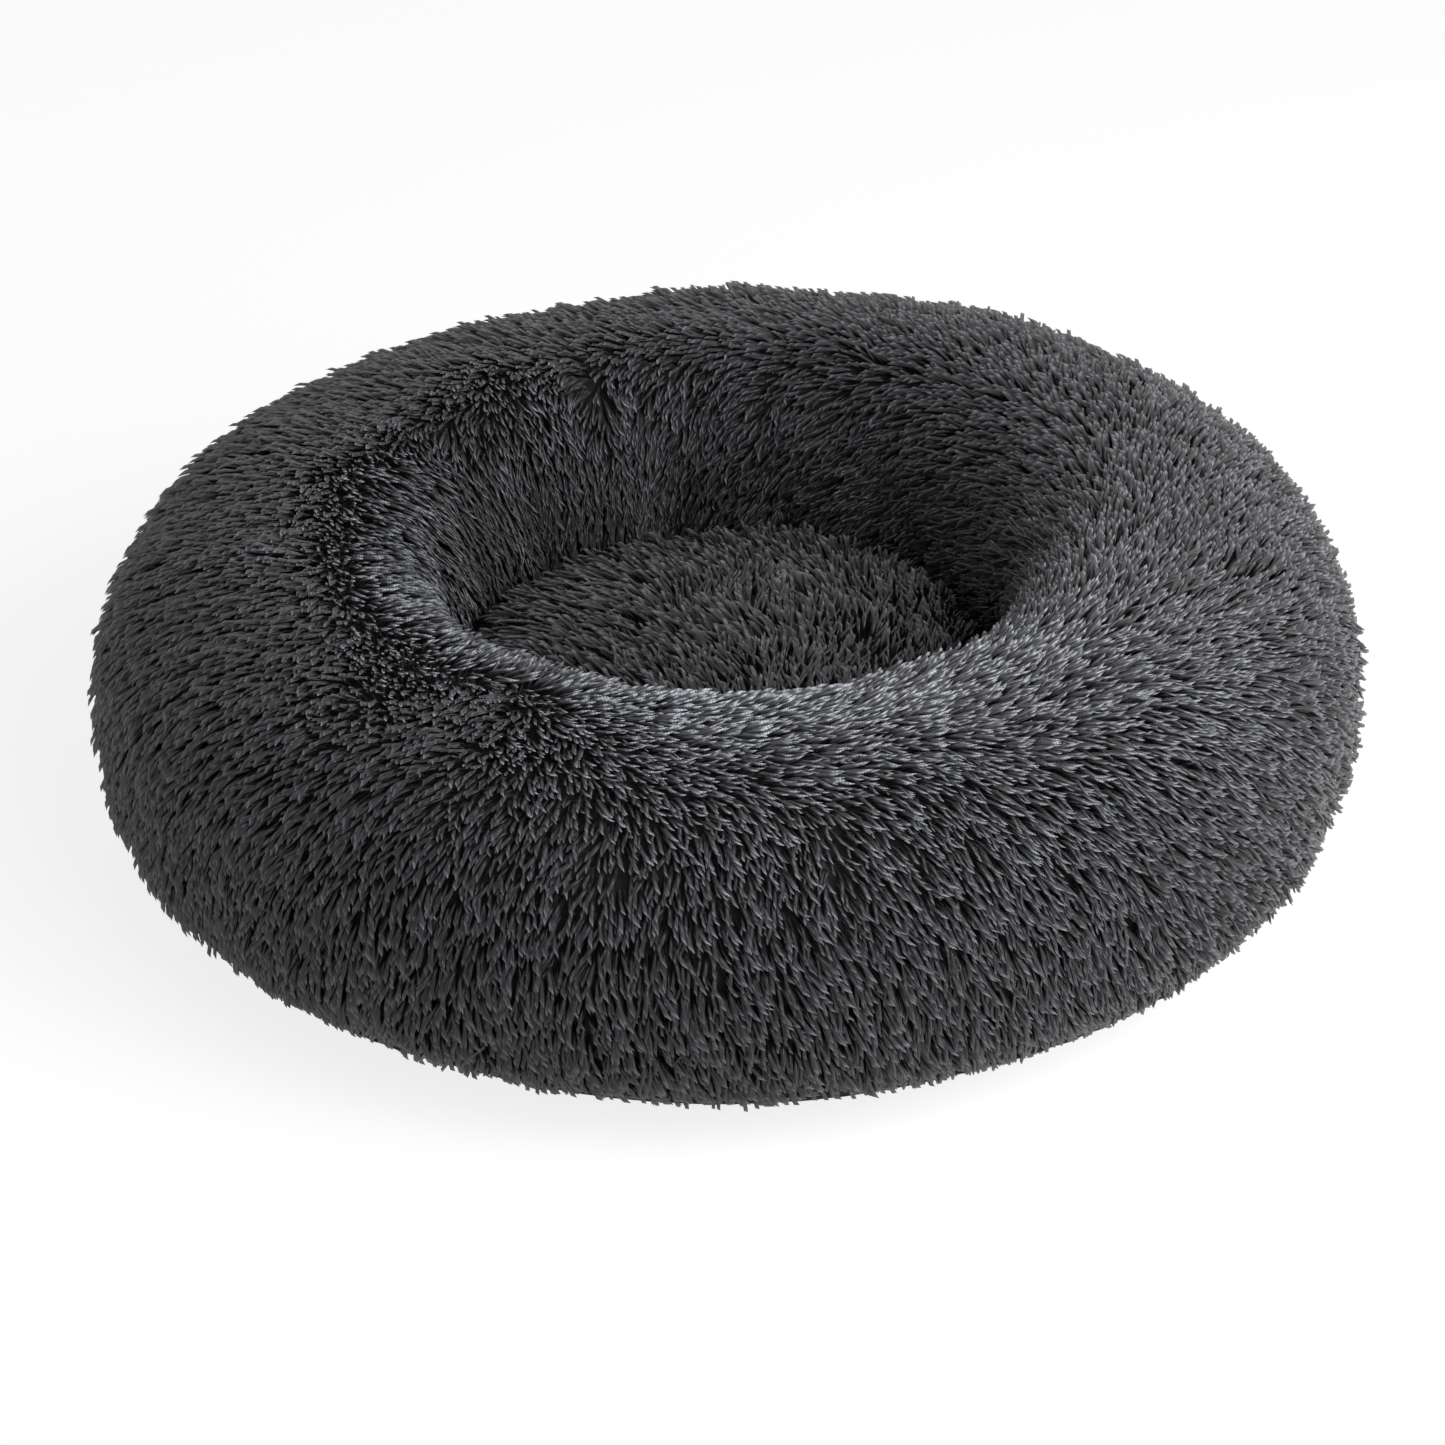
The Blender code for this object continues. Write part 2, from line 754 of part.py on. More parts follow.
def pad_profile():
    """The pad's fur skin from its seam up the side and over to the middle of the top."""
    side_radius = pad_seam_radius + pad_draw_in * pad_side_share
    side_height = (pad_seam_height + pad_waist_height) / 2
    across, up = superellipse(0.5, crown_roundness)
    shoulder = pad_radius * (pad_shoulder_share + (1 - pad_shoulder_share) * across)
    points = [(pad_seam_radius, pad_seam_height + 3 * touch_gap), (side_radius, side_height),
              (pad_radius, pad_waist_height),
              (shoulder, pad_waist_height + (pad_edge_height - pad_waist_height) * up)]
    for share in pad_dome_shares:
        rise = 1 - (share / pad_shoulder_share) ** 2
        points.append((pad_radius * share, pad_edge_height + pad_crown * rise))
    points.append((0.0, pad_top_height))
    return points


def pad_inside(depth):
    """The pad's profile at a depth below its fur skin, up to the middle of the top."""
    path = inset_path(pad_profile(), depth)
    path[0] = (pad_seam_radius - depth, pad_profile()[0][1])
    path[-1] = (0.0, pad_top_height - depth)
    return path


def tray_profile():
    """The pad's underside from its middle out over the rounded edge up to the seam."""
    middle_radius = pad_seam_radius - pad_foot_setback * (1 - pad_side_share) * 2
    middle_height = stuffing_bottom + (pad_seam_height - stuffing_bottom) * (1 - pad_side_share) * 2
    return [(0.0, stuffing_bottom), (pad_foot_radius, stuffing_bottom),
            (middle_radius, middle_height), (pad_seam_radius, pad_seam_height)]


def plump(mesh):
    """Give the pad's top its ridge at the back and its hollow at the side."""
    ridge_turn = math.radians(pad_ridge_angle)
    hollow_turn = math.radians(pad_hollow_angle)
    for vertex in mesh.vertices:
        x, y, z = vertex.co
        towards = (x * math.cos(ridge_turn) + y * math.sin(ridge_turn)) / pad_radius
        ridge = pad_ridge_height * max(towards, 0.0) ** 2
        away = math.hypot(x - pad_hollow_offset * math.cos(hollow_turn),
                          y - pad_hollow_offset * math.sin(hollow_turn))
        hollow = pad_hollow_depth * math.exp(-(away / pad_hollow_radius) ** 2)
        vertex.co.z = z + (ridge - hollow) * eased(z, pad_waist_height, pad_edge_height)


def cushion_cover_top():
    """The fur top and side of the pad."""
    path = pad_profile()[::-1] + pad_inside(fur_thickness)
    mesh = turned_mesh("cushion_cover_top", path, pad_segments, closed=False)
    plump(mesh)
    smooth(mesh)
    add_object("cushion_cover_top", mesh, fur)


def cushion_cover_base():
    """The plain underside of the pad's cover."""
    outer = tray_profile()
    inner = inset_path(outer, pad_base_thickness)
    inner[-1] = (inner[-1][0], outer[-1][1])
    mesh = turned_mesh("cushion_cover_base", outer + inner[::-1], pad_segments, closed=False)
    smooth(mesh)
    add_object("cushion_cover_base", mesh, lining_cloth)


def cushion_seam_binding():
    """The bound seam round the pad, between the fur and the underside."""
    inner = pad_seam_radius + touch_gap
    high = pad_seam_height + touch_gap
    square_ring("cushion_seam_binding", inner, inner + binding_width, high - binding_width, high,
                pad_segments, binding_cloth)


def cushion_filling():
    """The fibre filling of the pad."""
    low = inset_path(tray_profile(), pad_base_thickness + touch_gap)[:-1]
    high = pad_inside(fur_thickness + nest_gap)
    mesh = turned_mesh("cushion_filling", low + high, pad_segments, closed=False)
    plump(mesh)
    smooth(mesh)
    add_object("cushion_filling", mesh, fibre)


parts, cutters = fresh_scene()
fur = material("fur", (0.045, 0.046, 0.049), 0.95)
liner_cloth = material("liner_cloth", (0.80, 0.80, 0.78), 0.90)
fibre = material("fibre", (0.88, 0.88, 0.86), 1.00)
base_cloth = material("base_cloth", (0.030, 0.030, 0.032), 0.80)
lining_cloth = material("lining_cloth", (0.060, 0.060, 0.064), 0.90)
binding_cloth = material("binding_cloth", (0.040, 0.040, 0.043), 0.85)
tape_cloth = material("tape_cloth", (0.025, 0.025, 0.028), 0.80)
tooth_plastic = material("tooth_plastic", (0.020, 0.020, 0.022), 0.40)
zip_metal = material("zip_metal", (0.10, 0.10, 0.11), 0.35, 0.90)

ring_cover()
ring_liner()
ring_filling()
well_seam_binding()
base_panel()
base_piping()
base_band()
floor_lining()
zip_tapes()
zip_teeth("zip_teeth_lower", -1, 0.0)
zip_teeth("zip_teeth_upper", 1, 1.0)
zip_ends()
zip_pull(zip_slider())
cushion_cover_top()
cushion_cover_base()
cushion_seam_binding()
cushion_filling()
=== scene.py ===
"""A donut pet bed, dressed: plush on its ring and its loose pad, a woven base, a zip and a pale studio."""

import logging
import math
from dataclasses import asdict, dataclass, field, fields
from enum import Enum
from typing import Callable, Iterable, Sequence

import bmesh
import bpy
import numpy as np
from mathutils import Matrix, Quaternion, Vector, noise


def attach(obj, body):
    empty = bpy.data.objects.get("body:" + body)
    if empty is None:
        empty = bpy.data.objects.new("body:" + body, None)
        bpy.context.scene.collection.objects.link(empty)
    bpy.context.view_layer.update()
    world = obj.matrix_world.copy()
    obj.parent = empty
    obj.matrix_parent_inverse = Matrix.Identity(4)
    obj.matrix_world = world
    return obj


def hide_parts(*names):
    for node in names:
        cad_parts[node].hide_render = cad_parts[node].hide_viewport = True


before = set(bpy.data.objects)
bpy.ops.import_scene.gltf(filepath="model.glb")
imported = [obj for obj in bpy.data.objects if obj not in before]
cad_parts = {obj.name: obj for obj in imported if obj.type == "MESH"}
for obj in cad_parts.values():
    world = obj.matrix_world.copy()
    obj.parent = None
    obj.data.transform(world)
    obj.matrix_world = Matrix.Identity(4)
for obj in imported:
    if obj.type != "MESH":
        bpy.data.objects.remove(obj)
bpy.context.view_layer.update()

log = logging.getLogger("donut_bed")
Colour = tuple[float, float, float]
Span = tuple[float, float]
Layers = tuple[tuple[float, float, int], ...]

BAKED_MAP = "OFBake"
WEAVE_MAP = "Weave"

# Left alone, Blender seeds its noise from the clock, and each run would have other lumps.
NOISE_SEED = 1796040435


# Small helpers

def ease(value: np.ndarray | float, low: float, high: float) -> np.ndarray:
    """Share of the way from low to high, with soft ends."""
    share = np.clip((np.asarray(value, float) - low) / (high - low), 0.0, 1.0)
    return share * share * (3.0 - 2.0 * share)


def unit(vectors: np.ndarray) -> np.ndarray:
    """Rows of an array, each scaled to length one."""
    return vectors / np.maximum(np.linalg.norm(vectors, axis=-1, keepdims=True), 1e-12)


def drift(points: np.ndarray, layers: Layers) -> np.ndarray:
    """Smooth random vectors over points in space.

    Args:
        points: Places in metres, in an array of any shape whose last axis is X, Y and Z.
        layers: Each its strength, the distance over which it changes, in metres, and its seed.

    Returns:
        The sum of the layers in the shape of the points, each about plus or minus its strength.
    """
    total = 0.0
    for strength, wavelength, seed in layers:
        shift = Vector((seed * 7.31, seed * 3.77, seed * 5.19))
        rows = [noise.noise_vector(Vector(p) / wavelength + shift) for p in points.reshape(-1, 3)]
        total = total + strength * np.array(rows).reshape(points.shape)
    return total


def link(name: str, mesh: bpy.types.Mesh) -> bpy.types.Object:
    """Put a mesh into the scene under a name, at the origin."""
    obj = bpy.data.objects.new(name, mesh)
    bpy.context.scene.collection.objects.link(obj)
    return obj


def mesh_from(points: Iterable[Sequence[float]], faces: Iterable[Sequence[int]],
              rounded: bool = True) -> bpy.types.Mesh:
    """A mesh with its normals turned outwards.

    Args:
        points: Its points.
        faces: Its faces, as numbers of points.
        rounded: Whether it is shaded smooth.

    Returns:
        The mesh.
    """
    mesh = bpy.data.meshes.new("mesh")
    mesh.from_pydata([tuple(map(float, p)) for p in points], [], [tuple(map(int, f)) for f in faces])
    bm = bmesh.new()
    bm.from_mesh(mesh)
    bmesh.ops.recalc_face_normals(bm, faces=bm.faces)
    bm.to_mesh(mesh)
    bm.free()
    if rounded:
        mesh.shade_smooth()
    return mesh


def grid_faces(rows: int, columns: int, wrap_rows: bool, wrap_columns: bool) -> list[tuple[int, ...]]:
    """Quads of a grid whose points are stored row by row.

    Args:
        rows: Rows of points.
        columns: Points in a row.
        wrap_rows: Whether the last row joins the first.
        wrap_columns: Whether the last column joins the first.

    Returns:
        The quads, as numbers of points.
    """
    quads = []
    for i in range(rows if wrap_rows else rows - 1):
        for j in range(columns if wrap_columns else columns - 1):
            k, n = (i + 1) % rows, (j + 1) % columns
            quads.append((i * columns + j, i * columns + n, k * columns + n, k * columns + j))
    return quads


def squared_quarter(share: np.ndarray, roundness: float) -> tuple[np.ndarray, np.ndarray]:
    """Cosine and sine of a share of a quarter turn, squared off by the roundness."""
    angle = share * math.pi / 2
    return np.cos(angle) ** (2 / roundness), np.sin(angle) ** (2 / roundness)


def run_along(points: np.ndarray, closed: bool = False) -> np.ndarray:
    """Length run along a line at each of its points, and at its return to the first where it is closed."""
    line = np.concatenate([points, points[:1]]) if closed else points
    return np.concatenate([[0.0], np.cumsum(np.linalg.norm(np.diff(line, axis=0), axis=1))])


def soft_path(corners: Sequence[Sequence[float]] | np.ndarray, count: int, passes: int) -> np.ndarray:
    """Evenly spaced points along a line, its corners rounded by averaging.

    Args:
        corners: The line as (radius, height) rows.
        count: Points wanted.
        passes: How often each point is averaged with its neighbours.

    Returns:
        The points, the first and last of them where the line starts and ends.
    """
    line = np.asarray(corners, float)
    run = run_along(line)
    even = np.linspace(0.0, run[-1], count)
    path = np.stack([np.interp(even, run, line[:, 0]), np.interp(even, run, line[:, 1])], 1)
    for _ in range(passes):
        path[1:-1] = (path[:-2] + 2 * path[1:-1] + path[2:]) / 4
    return path


def inset(path: np.ndarray, depth: float) -> np.ndarray:
    """A (radius, height) line moved to its left by a depth."""
    along = unit(np.gradient(path, axis=0))
    return path + depth * np.stack([-along[:, 1], along[:, 0]], 1)


def turned(path: np.ndarray, around: int) -> np.ndarray:
    """A grid of points: each (radius, height) row of a line taken once round the Z axis."""
    turn = np.linspace(0.0, math.tau, around, endpoint=False)[None, :]
    radius, height = path[:, :1], path[:, 1:]
    return np.stack([radius * np.cos(turn), radius * np.sin(turn), height + 0.0 * turn], -1)


def grid_directions(grid: np.ndarray) -> tuple[np.ndarray, np.ndarray, np.ndarray]:
    """Directions at each point of a turned grid.

    Args:
        grid: Points as rows by columns by three, the first row facing outwards.

    Returns:
        Normals, directions round the grid and directions down it, each in the grid's shape.
    """
    along = unit(np.roll(grid, -1, 1) - np.roll(grid, 1, 1))
    down = unit(np.gradient(grid, axis=0))
    normal = unit(np.cross(along, down))
    return normal * np.sign(np.dot(normal[0, 0], grid[0, 0] * (1.0, 1.0, 0.0))), along, down


def skin_mesh(grid: np.ndarray, normal: np.ndarray, closed: bool) -> bpy.types.Mesh:
    """An open skin of a grid of points.

    Args:
        grid: Points as rows by columns by three.
        normal: Which way the skin faces at each of them.
        closed: Whether the last column joins the first.

    Returns:
        The mesh, its faces turned as the normals are.
    """
    mesh = mesh_from(grid.reshape(-1, 3), grid_faces(*grid.shape[:2], False, closed))
    first = mesh.polygons[0]
    if first.normal.dot(Vector(normal.reshape(-1, 3)[first.vertices[0]])) < 0:
        mesh.flip_normals()
    return mesh


def cloth_mesh(grid: np.ndarray, wrap_rows: bool = True, wrap_columns: bool = True,
               flat_map: bool = False) -> bpy.types.Mesh:
    """A closed mesh of a grid of points, with a map in metres for its weave.

    Args:
        grid: Points as rows by columns by three. An end that doesn't wrap is closed by one face.
        wrap_rows: Whether the last row joins the first.
        wrap_columns: Whether the last column joins the first.
        flat_map: Whether the weave lies flat on X and Y, and doesn't follow the grid.

    Returns:
        The mesh, shaded smooth, its normals outwards.
    """
    rows, columns = grid.shape[:2]
    faces = grid_faces(rows, columns, wrap_rows, wrap_columns)
    quads = len(faces)
    if not wrap_rows:
        faces += [tuple(range(columns)), tuple((rows - 1) * columns + j for j in range(columns))]
    if not wrap_columns:
        faces += [tuple(i * columns for i in range(rows)), tuple((i + 1) * columns - 1 for i in range(rows))]
    mesh = mesh_from(grid.reshape(-1, 3), faces)
    corner = np.empty(len(mesh.loops), int)
    mesh.loops.foreach_get("vertex_index", corner)
    face = np.repeat(np.arange(len(faces)), [len(face) for face in faces])
    row, column = corner // columns, corner % columns
    if flat_map:
        place = grid.reshape(-1, 3)[corner, :2]
    else:
        per_row = columns if wrap_columns else columns - 1
        inner = face < quads
        column = np.where(inner & (column == 0) & (face % per_row == columns - 1), columns, column)
        row = np.where(inner & (row == 0) & (face // per_row == rows - 1), rows, row)
        place = np.stack([run_along(grid[rows // 2], True)[column], run_along(grid[:, 0], True)[row]], 1)
    mesh.uv_layers.new(name=WEAVE_MAP).data.foreach_set("uv", place.astype(np.float32).ravel())
    return mesh


def rounded_section(low: float, high: float, bottom: float, top: float, corner: float,
                    count: int) -> np.ndarray:
    """A closed strip section with rounded corners.

    Args:
        low: Where the strip starts across its width.
        high: Where it ends.
        bottom: Its under face.
        top: Its upper face.
        corner: Radius of its corners.
        count: Points along each face.

    Returns:
        Rows of (place across, height), once round.
    """
    points = []
    for x, y, start in ((high, bottom, -90.0), (high, top, 0.0), (low, top, 90.0), (low, bottom, 180.0)):
        middle_x = x + (-corner if x == high else corner)
        middle_y = y + (corner if y == bottom else -corner)
        for step in range(4):
            turn = math.radians(start + 30.0 * step)
            points.append((middle_x + corner * math.cos(turn), middle_y + corner * math.sin(turn)))
        if start in (0.0, 180.0):
            first = points[-1]
            end = (low + corner if start == 0.0 else high - corner)
            points += [(first[0] + (end - first[0]) * k / count, first[1]) for k in range(1, count)]
    return np.array(points)


def settle(name: str, mesh: bpy.types.Mesh, material: bpy.types.Material | None, body: str, slot: str,
           *stands_for: str) -> bpy.types.Object:
    """Make a mesh a finished piece.

    Args:
        name: The piece's name.
        mesh: Its mesh, in place.
        material: Its material, or None where the mesh has one.
        body: The body that it rides on.
        slot: Not used.
        stands_for: The CAD nodes that it replaces.

    Returns:
        The piece.
    """
    piece = link(name, mesh)
    if material is not None:
        mesh.materials.append(material)
    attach(piece, body)
    if stands_for:
        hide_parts(*stands_for)
    log.info("%s: %d faces, on %s", name, len(mesh.polygons), body)
    return piece


# Node trees

class Wire:
    """An output of a node, with arithmetic, so that a formula over nodes reads like one over numbers."""

    def __init__(self, wires: "Wiring", socket: bpy.types.NodeSocket) -> None:
        """Keep the output and the wiring that it belongs to."""
        self.wires, self.socket = wires, socket
        self.is_vector = socket.type in ("VECTOR", "RGBA")

    def _made(self, operation: str, first: "Value", second: "Value") -> "Wire":
        """What an operation makes of two values: a vector where this is one, or else a number."""
        kind = "ShaderNodeVectorMath" if self.is_vector else "ShaderNodeMath"
        return self.wires.out(kind, {0: first, 1: second}, operation=operation)

    def __add__(self, other: "Value") -> "Wire":
        """The sum of both."""
        return self._made("ADD", self, other)

    def __sub__(self, other: "Value") -> "Wire":
        """This less the other."""
        return self._made("SUBTRACT", self, other)

    def __mul__(self, other: "Value") -> "Wire":
        """This times a number."""
        if self.is_vector:
            return self.wires.out("ShaderNodeVectorMath", {0: self, "Scale": other}, operation="SCALE")
        return self._made("MULTIPLY", self, other)

    def __truediv__(self, other: "Value") -> "Wire":
        """This divided by a number."""
        return self._made("DIVIDE", self, other)

    def __rtruediv__(self, other: float) -> "Wire":
        """A number divided by this."""
        return self._made("DIVIDE", other, self)

    def done(self, operation: str, other: "Value" = None) -> "Wire":
        """What another operation makes of this, alone or with a second value."""
        return self._made(operation, self, other)

    def spread(self, low: float, high: float, to_low: float = 0.0, to_high: float = 1.0) -> "Wire":
        """This number carried from one range to another, and kept inside it."""
        return self.wires.out("ShaderNodeMapRange", {0: self, 1: low, 2: high, 3: to_low, 4: to_high})

    def split(self) -> list["Wire"]:
        """The three coordinates of this vector."""
        return self.wires.outs("ShaderNodeSeparateXYZ", {0: self}, "X", "Y", "Z")


Value = Wire | float | int | str | tuple[float, ...] | bpy.types.Material | None
Inputs = dict[str | int, Value]


class Wiring:
    """Adds nodes to a tree and joins them."""

    def __init__(self, tree: bpy.types.NodeTree) -> None:
        """Keep the tree that the nodes go into."""
        self.tree = tree

    def join(self, node: bpy.types.Node, ins: Inputs) -> None:
        """Give a node's inputs wires to follow or values to hold.

        Args:
            node: The node.
            ins: What each input gets, by name, identifier or number. None leaves it as it is.
        """
        for key, value in ins.items():
            if isinstance(key, int):
                target = node.inputs[key]
            else:
                named = ([s for s in node.inputs if s.identifier == key]
                         or [s for s in node.inputs if s.name == key])
                target = next((s for s in named if s.enabled), named[0])
            if isinstance(value, Wire):
                self.tree.links.new(value.socket, target)
            elif value is not None:
                target.default_value = value

    def node(self, kind: str, ins: Inputs | None = None, **settings: object) -> bpy.types.Node:
        """Add a node.

        Args:
            kind: The node's type name.
            ins: What its inputs get.
            settings: Properties of the node itself.

        Returns:
            The new node.
        """
        made = self.tree.nodes.new(kind)
        for key, value in settings.items():
            setattr(made, key, value)
        self.join(made, ins or {})
        return made

    def out(self, kind: str, ins: Inputs | None = None, **settings: object) -> Wire:
        """Add a node as node() does, and take its first output that is in use."""
        return Wire(self, next(s for s in self.node(kind, ins, **settings).outputs if s.enabled))

    def outs(self, kind: str, ins: Inputs, *names: str, **settings: object) -> list[Wire]:
        """Add a node as node() does, and take its outputs of the given names."""
        made = self.node(kind, ins, **settings)
        return [Wire(self, made.outputs[name]) for name in names]

    def given(self) -> dict[str, Wire]:
        """The tree's own inputs by name."""
        return {s.name: Wire(self, s) for s in self.node("NodeGroupInput").outputs if s.name}

    def ramp(self, value: Wire, *stops: tuple[float, Colour]) -> Wire:
        """A colour that runs through stops as a value goes from 0 to 1.

        Args:
            value: The value.
            stops: Each the value at which the colour is reached, and the colour.

        Returns:
            The colour.
        """
        made = self.node("ShaderNodeValToRGB", {0: value})
        points = made.color_ramp.elements
        while len(points) < len(stops):
            points.new(0.5)
        for point, (place, colour) in zip(points, stops):
            point.position = place
            point.color = (*colour, 1.0)
        return Wire(self, made.outputs["Color"])

    def grain(self, scale: float, detail: float, roughness: float = 0.5) -> Wire:
        """Noise from 0 to 1 over the object's own coordinates."""
        place, = self.outs("ShaderNodeTexCoord", {}, "Object")
        return self.out("ShaderNodeTexNoise", {"Vector": place, "Scale": scale, "Detail": detail,
                                               "Roughness": roughness})

    def seen(self) -> Wire:
        """1 where the camera sees a surface, straight on or in a reflection, and 0 where it only lights."""
        ray = self.outs("ShaderNodeLightPath", {}, "Is Camera Ray", "Is Glossy Ray", "Is Transmission Ray")
        return ray[0].done("MAXIMUM", ray[1].done("MAXIMUM", ray[2]))


class GrowingTree:
    """A Geometry Nodes tree that grows what repeats on a mesh."""

    def __init__(self, name: str, numbers: Sequence[str], counts: Sequence[str] = ()) -> None:
        """Start the tree with its inputs.

        Args:
            name: The tree's name.
            numbers: Names of its inputs that hold a number.
            counts: Names of its inputs that hold a whole number.
        """
        self.tree = bpy.data.node_groups.new(name, "GeometryNodeTree")
        kinds = {"Geometry": "Geometry", **dict.fromkeys(numbers, "Float"), **dict.fromkeys(counts, "Int")}
        for label, kind in kinds.items():
            self.tree.interface.new_socket(label, in_out="INPUT", socket_type="NodeSocket" + kind)
        self.tree.interface.new_socket("Geometry", in_out="OUTPUT", socket_type="NodeSocketGeometry")
        self.wires = Wiring(self.tree)
        self.given = self.wires.given()

    def _end(self, geometry: Wire, material: bpy.types.Material) -> None:
        """Instances become mesh, and the mesh gets its material and leaves the tree."""
        loose = self.wires.out("GeometryNodeRealizeInstances", {"Geometry": geometry})
        well_painted_shade = self.wires.out("GeometryNodeSetShadeSmooth", {"Geometry": loose})
        dressed = self.wires.out("GeometryNodeSetMaterial", {"Geometry": well_painted_shade, "Material": material})
        self.wires.node("NodeGroupOutput", {"Geometry": dressed})

    def run(self, mesh: bpy.types.Mesh, values: dict[str, float | int]) -> bpy.types.Mesh:
        """Run the tree over a mesh.

        Args:
            mesh: What the tree gets as its geometry.
            values: Its inputs by name.

        Returns:
            A plain mesh of the result.
        """
        base = link("growing_base", mesh)
        runner = base.modifiers.new("Tree", "NODES")
        runner.node_group = self.tree
        for socket in self.tree.interface.items_tree:
            if socket.in_out == "INPUT" and socket.name in values:
                runner[socket.identifier] = values[socket.name]
        graph = bpy.context.evaluated_depsgraph_get()
        made = bpy.data.meshes.new_from_object(base.evaluated_get(graph), depsgraph=graph)
        bpy.data.objects.remove(base, do_unlink=True)
        return made


# Finishes

def new_material(name: str) -> tuple[bpy.types.Material, Wiring, bpy.types.Node]:
    """A Principled material with its wiring and its shader node."""
    made = bpy.data.materials.new(name)
    made.use_nodes = True
    return made, Wiring(made.node_tree), made.node_tree.nodes["Principled BSDF"]


@dataclass(frozen=True)
class PlushFinish:
    """Long plush pile: dark at the root, paler at the tip, each tuft a little lighter or darker."""

    name: str = "charcoal_plush"
    root: Colour = (0.003, 0.003, 0.0034)
    shaft: Colour = (0.0146, 0.0151, 0.0172)
    upper: Colour = (0.0515, 0.0532, 0.0595)
    tip: Colour = (0.330, 0.342, 0.374)
    root_end: float = 0.15
    shaft_middle: float = 0.48
    upper_end: float = 0.86
    tones: int = 40
    tone_levels: Span = (0.30, 2.50)
    strands: float = 4.0
    strand_depth: float = 0.45
    roughness: float = 0.40
    sheen: float = 0.10
    sheen_roughness: float = 0.4

    def material(self) -> bpy.types.Material:
        """The pile's material, which reads only the map that each tuft carries."""
        made, wires, shader = new_material(self.name)
        x, y, _ = wires.out("ShaderNodeUVMap", uv_map=BAKED_MAP).split()
        column = x * float(self.tones)
        tone = column.done("FLOOR") / float(self.tones)
        strand = (column.done("FRACT") * (self.strands * math.tau)).done("COSINE")
        base = wires.ramp(y, (self.root_end, self.root), (self.shaft_middle, self.shaft),
                          (self.upper_end, self.upper), (1.0, self.tip))
        streak = strand.spread(-1.0, 1.0, 1.0 - self.strand_depth, 1.0 + self.strand_depth)
        level = tone.spread(0.0, 1.0, *self.tone_levels) * streak
        wires.join(shader, {"Base Color": base * level, "Roughness": self.roughness,
                            "Sheen Weight": self.sheen, "Sheen Roughness": self.sheen_roughness})
        return made


@dataclass(frozen=True)
class UnderPileFinish:
    """The knitted ground that the pile stands on, nearly black between the tufts."""

    name: str = "plush_ground"
    dark: Colour = (0.003, 0.003, 0.0034)
    pale: Colour = (0.014, 0.014, 0.016)
    mottle: float = 260.0
    detail: float = 3.0
    roughness: float = 0.95

    def material(self) -> bpy.types.Material:
        """Mottled dark cloth."""
        made, wires, shader = new_material(self.name)
        mottled = wires.ramp(wires.grain(self.mottle, self.detail), (0.3, self.dark), (0.7, self.pale))
        wires.join(shader, {"Base Color": mottled, "Roughness": self.roughness})
        return made


class Weave(Enum):
    """How a cloth's threads cross."""

    PLAIN = "plain"
    HERRINGBONE = "herringbone"
    RIBBED = "ribbed"


@dataclass(frozen=True)
class ClothFinish:
    """Woven cloth with the slight slubs and wear of a hard-wearing sewn piece."""

    name: str
    dark: Colour
    pale: Colour
    weave: Weave = Weave.PLAIN
    threads: float = 1100.0
    rib: float = 0.0026
    slub_scale: float = 45.0
    slub_levels: Span = (0.75, 1.3)
    relief: float = 0.00018
    bump: float = 0.6
    roughness: float = 0.8

    def _over(self, along: Wire, across: Wire) -> Wire:
        """How far the uppermost thread stands out, from 0 to 1, at a place along and across the cloth."""
        turn = self.threads * math.pi
        if self.weave is Weave.HERRINGBONE:
            along = along + across.done("PINGPONG", self.rib)
        wave = (along * turn).done("SINE")
        if self.weave is Weave.PLAIN:
            wave = wave * (across * turn).done("SINE")
        return wave.spread(-1.0, 1.0)

    def material(self) -> bpy.types.Material:
        """The weave over the piece's own map in metres, with its relief."""
        made, wires, shader = new_material(self.name)
        along, across, _ = wires.out("ShaderNodeUVMap", uv_map=WEAVE_MAP).split()
        over = self._over(along, across)
        cloth = wires.ramp(over, (0.0, self.dark), (1.0, self.pale))
        worn = cloth * wires.grain(self.slub_scale, 4.0, 0.6).spread(0.25, 0.75, *self.slub_levels)
        bump = wires.out("ShaderNodeBump", {"Strength": self.bump, "Distance": self.relief, "Height": over})
        wires.join(shader, {"Base Color": worn, "Roughness": self.roughness, "Normal": bump})
        return made


@dataclass(frozen=True)
class MouldedFinish:
    """Moulded plastic or plated metal with fine scuffs."""

    name: str
    colour: Colour
    scuffed: Colour
    roughness: float
    metallic: float = 0.0
    scuff_scale: float = 900.0
    smoother: float = 0.08
    rougher: float = 0.12

    def material(self) -> bpy.types.Material:
        """A satin surface, paler where it is scuffed."""
        made, wires, shader = new_material(self.name)
        scuff = wires.grain(self.scuff_scale, 5.0, 0.7)
        rough = scuff.spread(0.2, 0.8, self.roughness - self.smoother, self.roughness + self.rougher)
        wires.join(shader, {"Base Color": wires.ramp(scuff, (0.45, self.colour), (0.75, self.scuffed)),
                            "Roughness": rough, "Metallic": self.metallic})
        return made


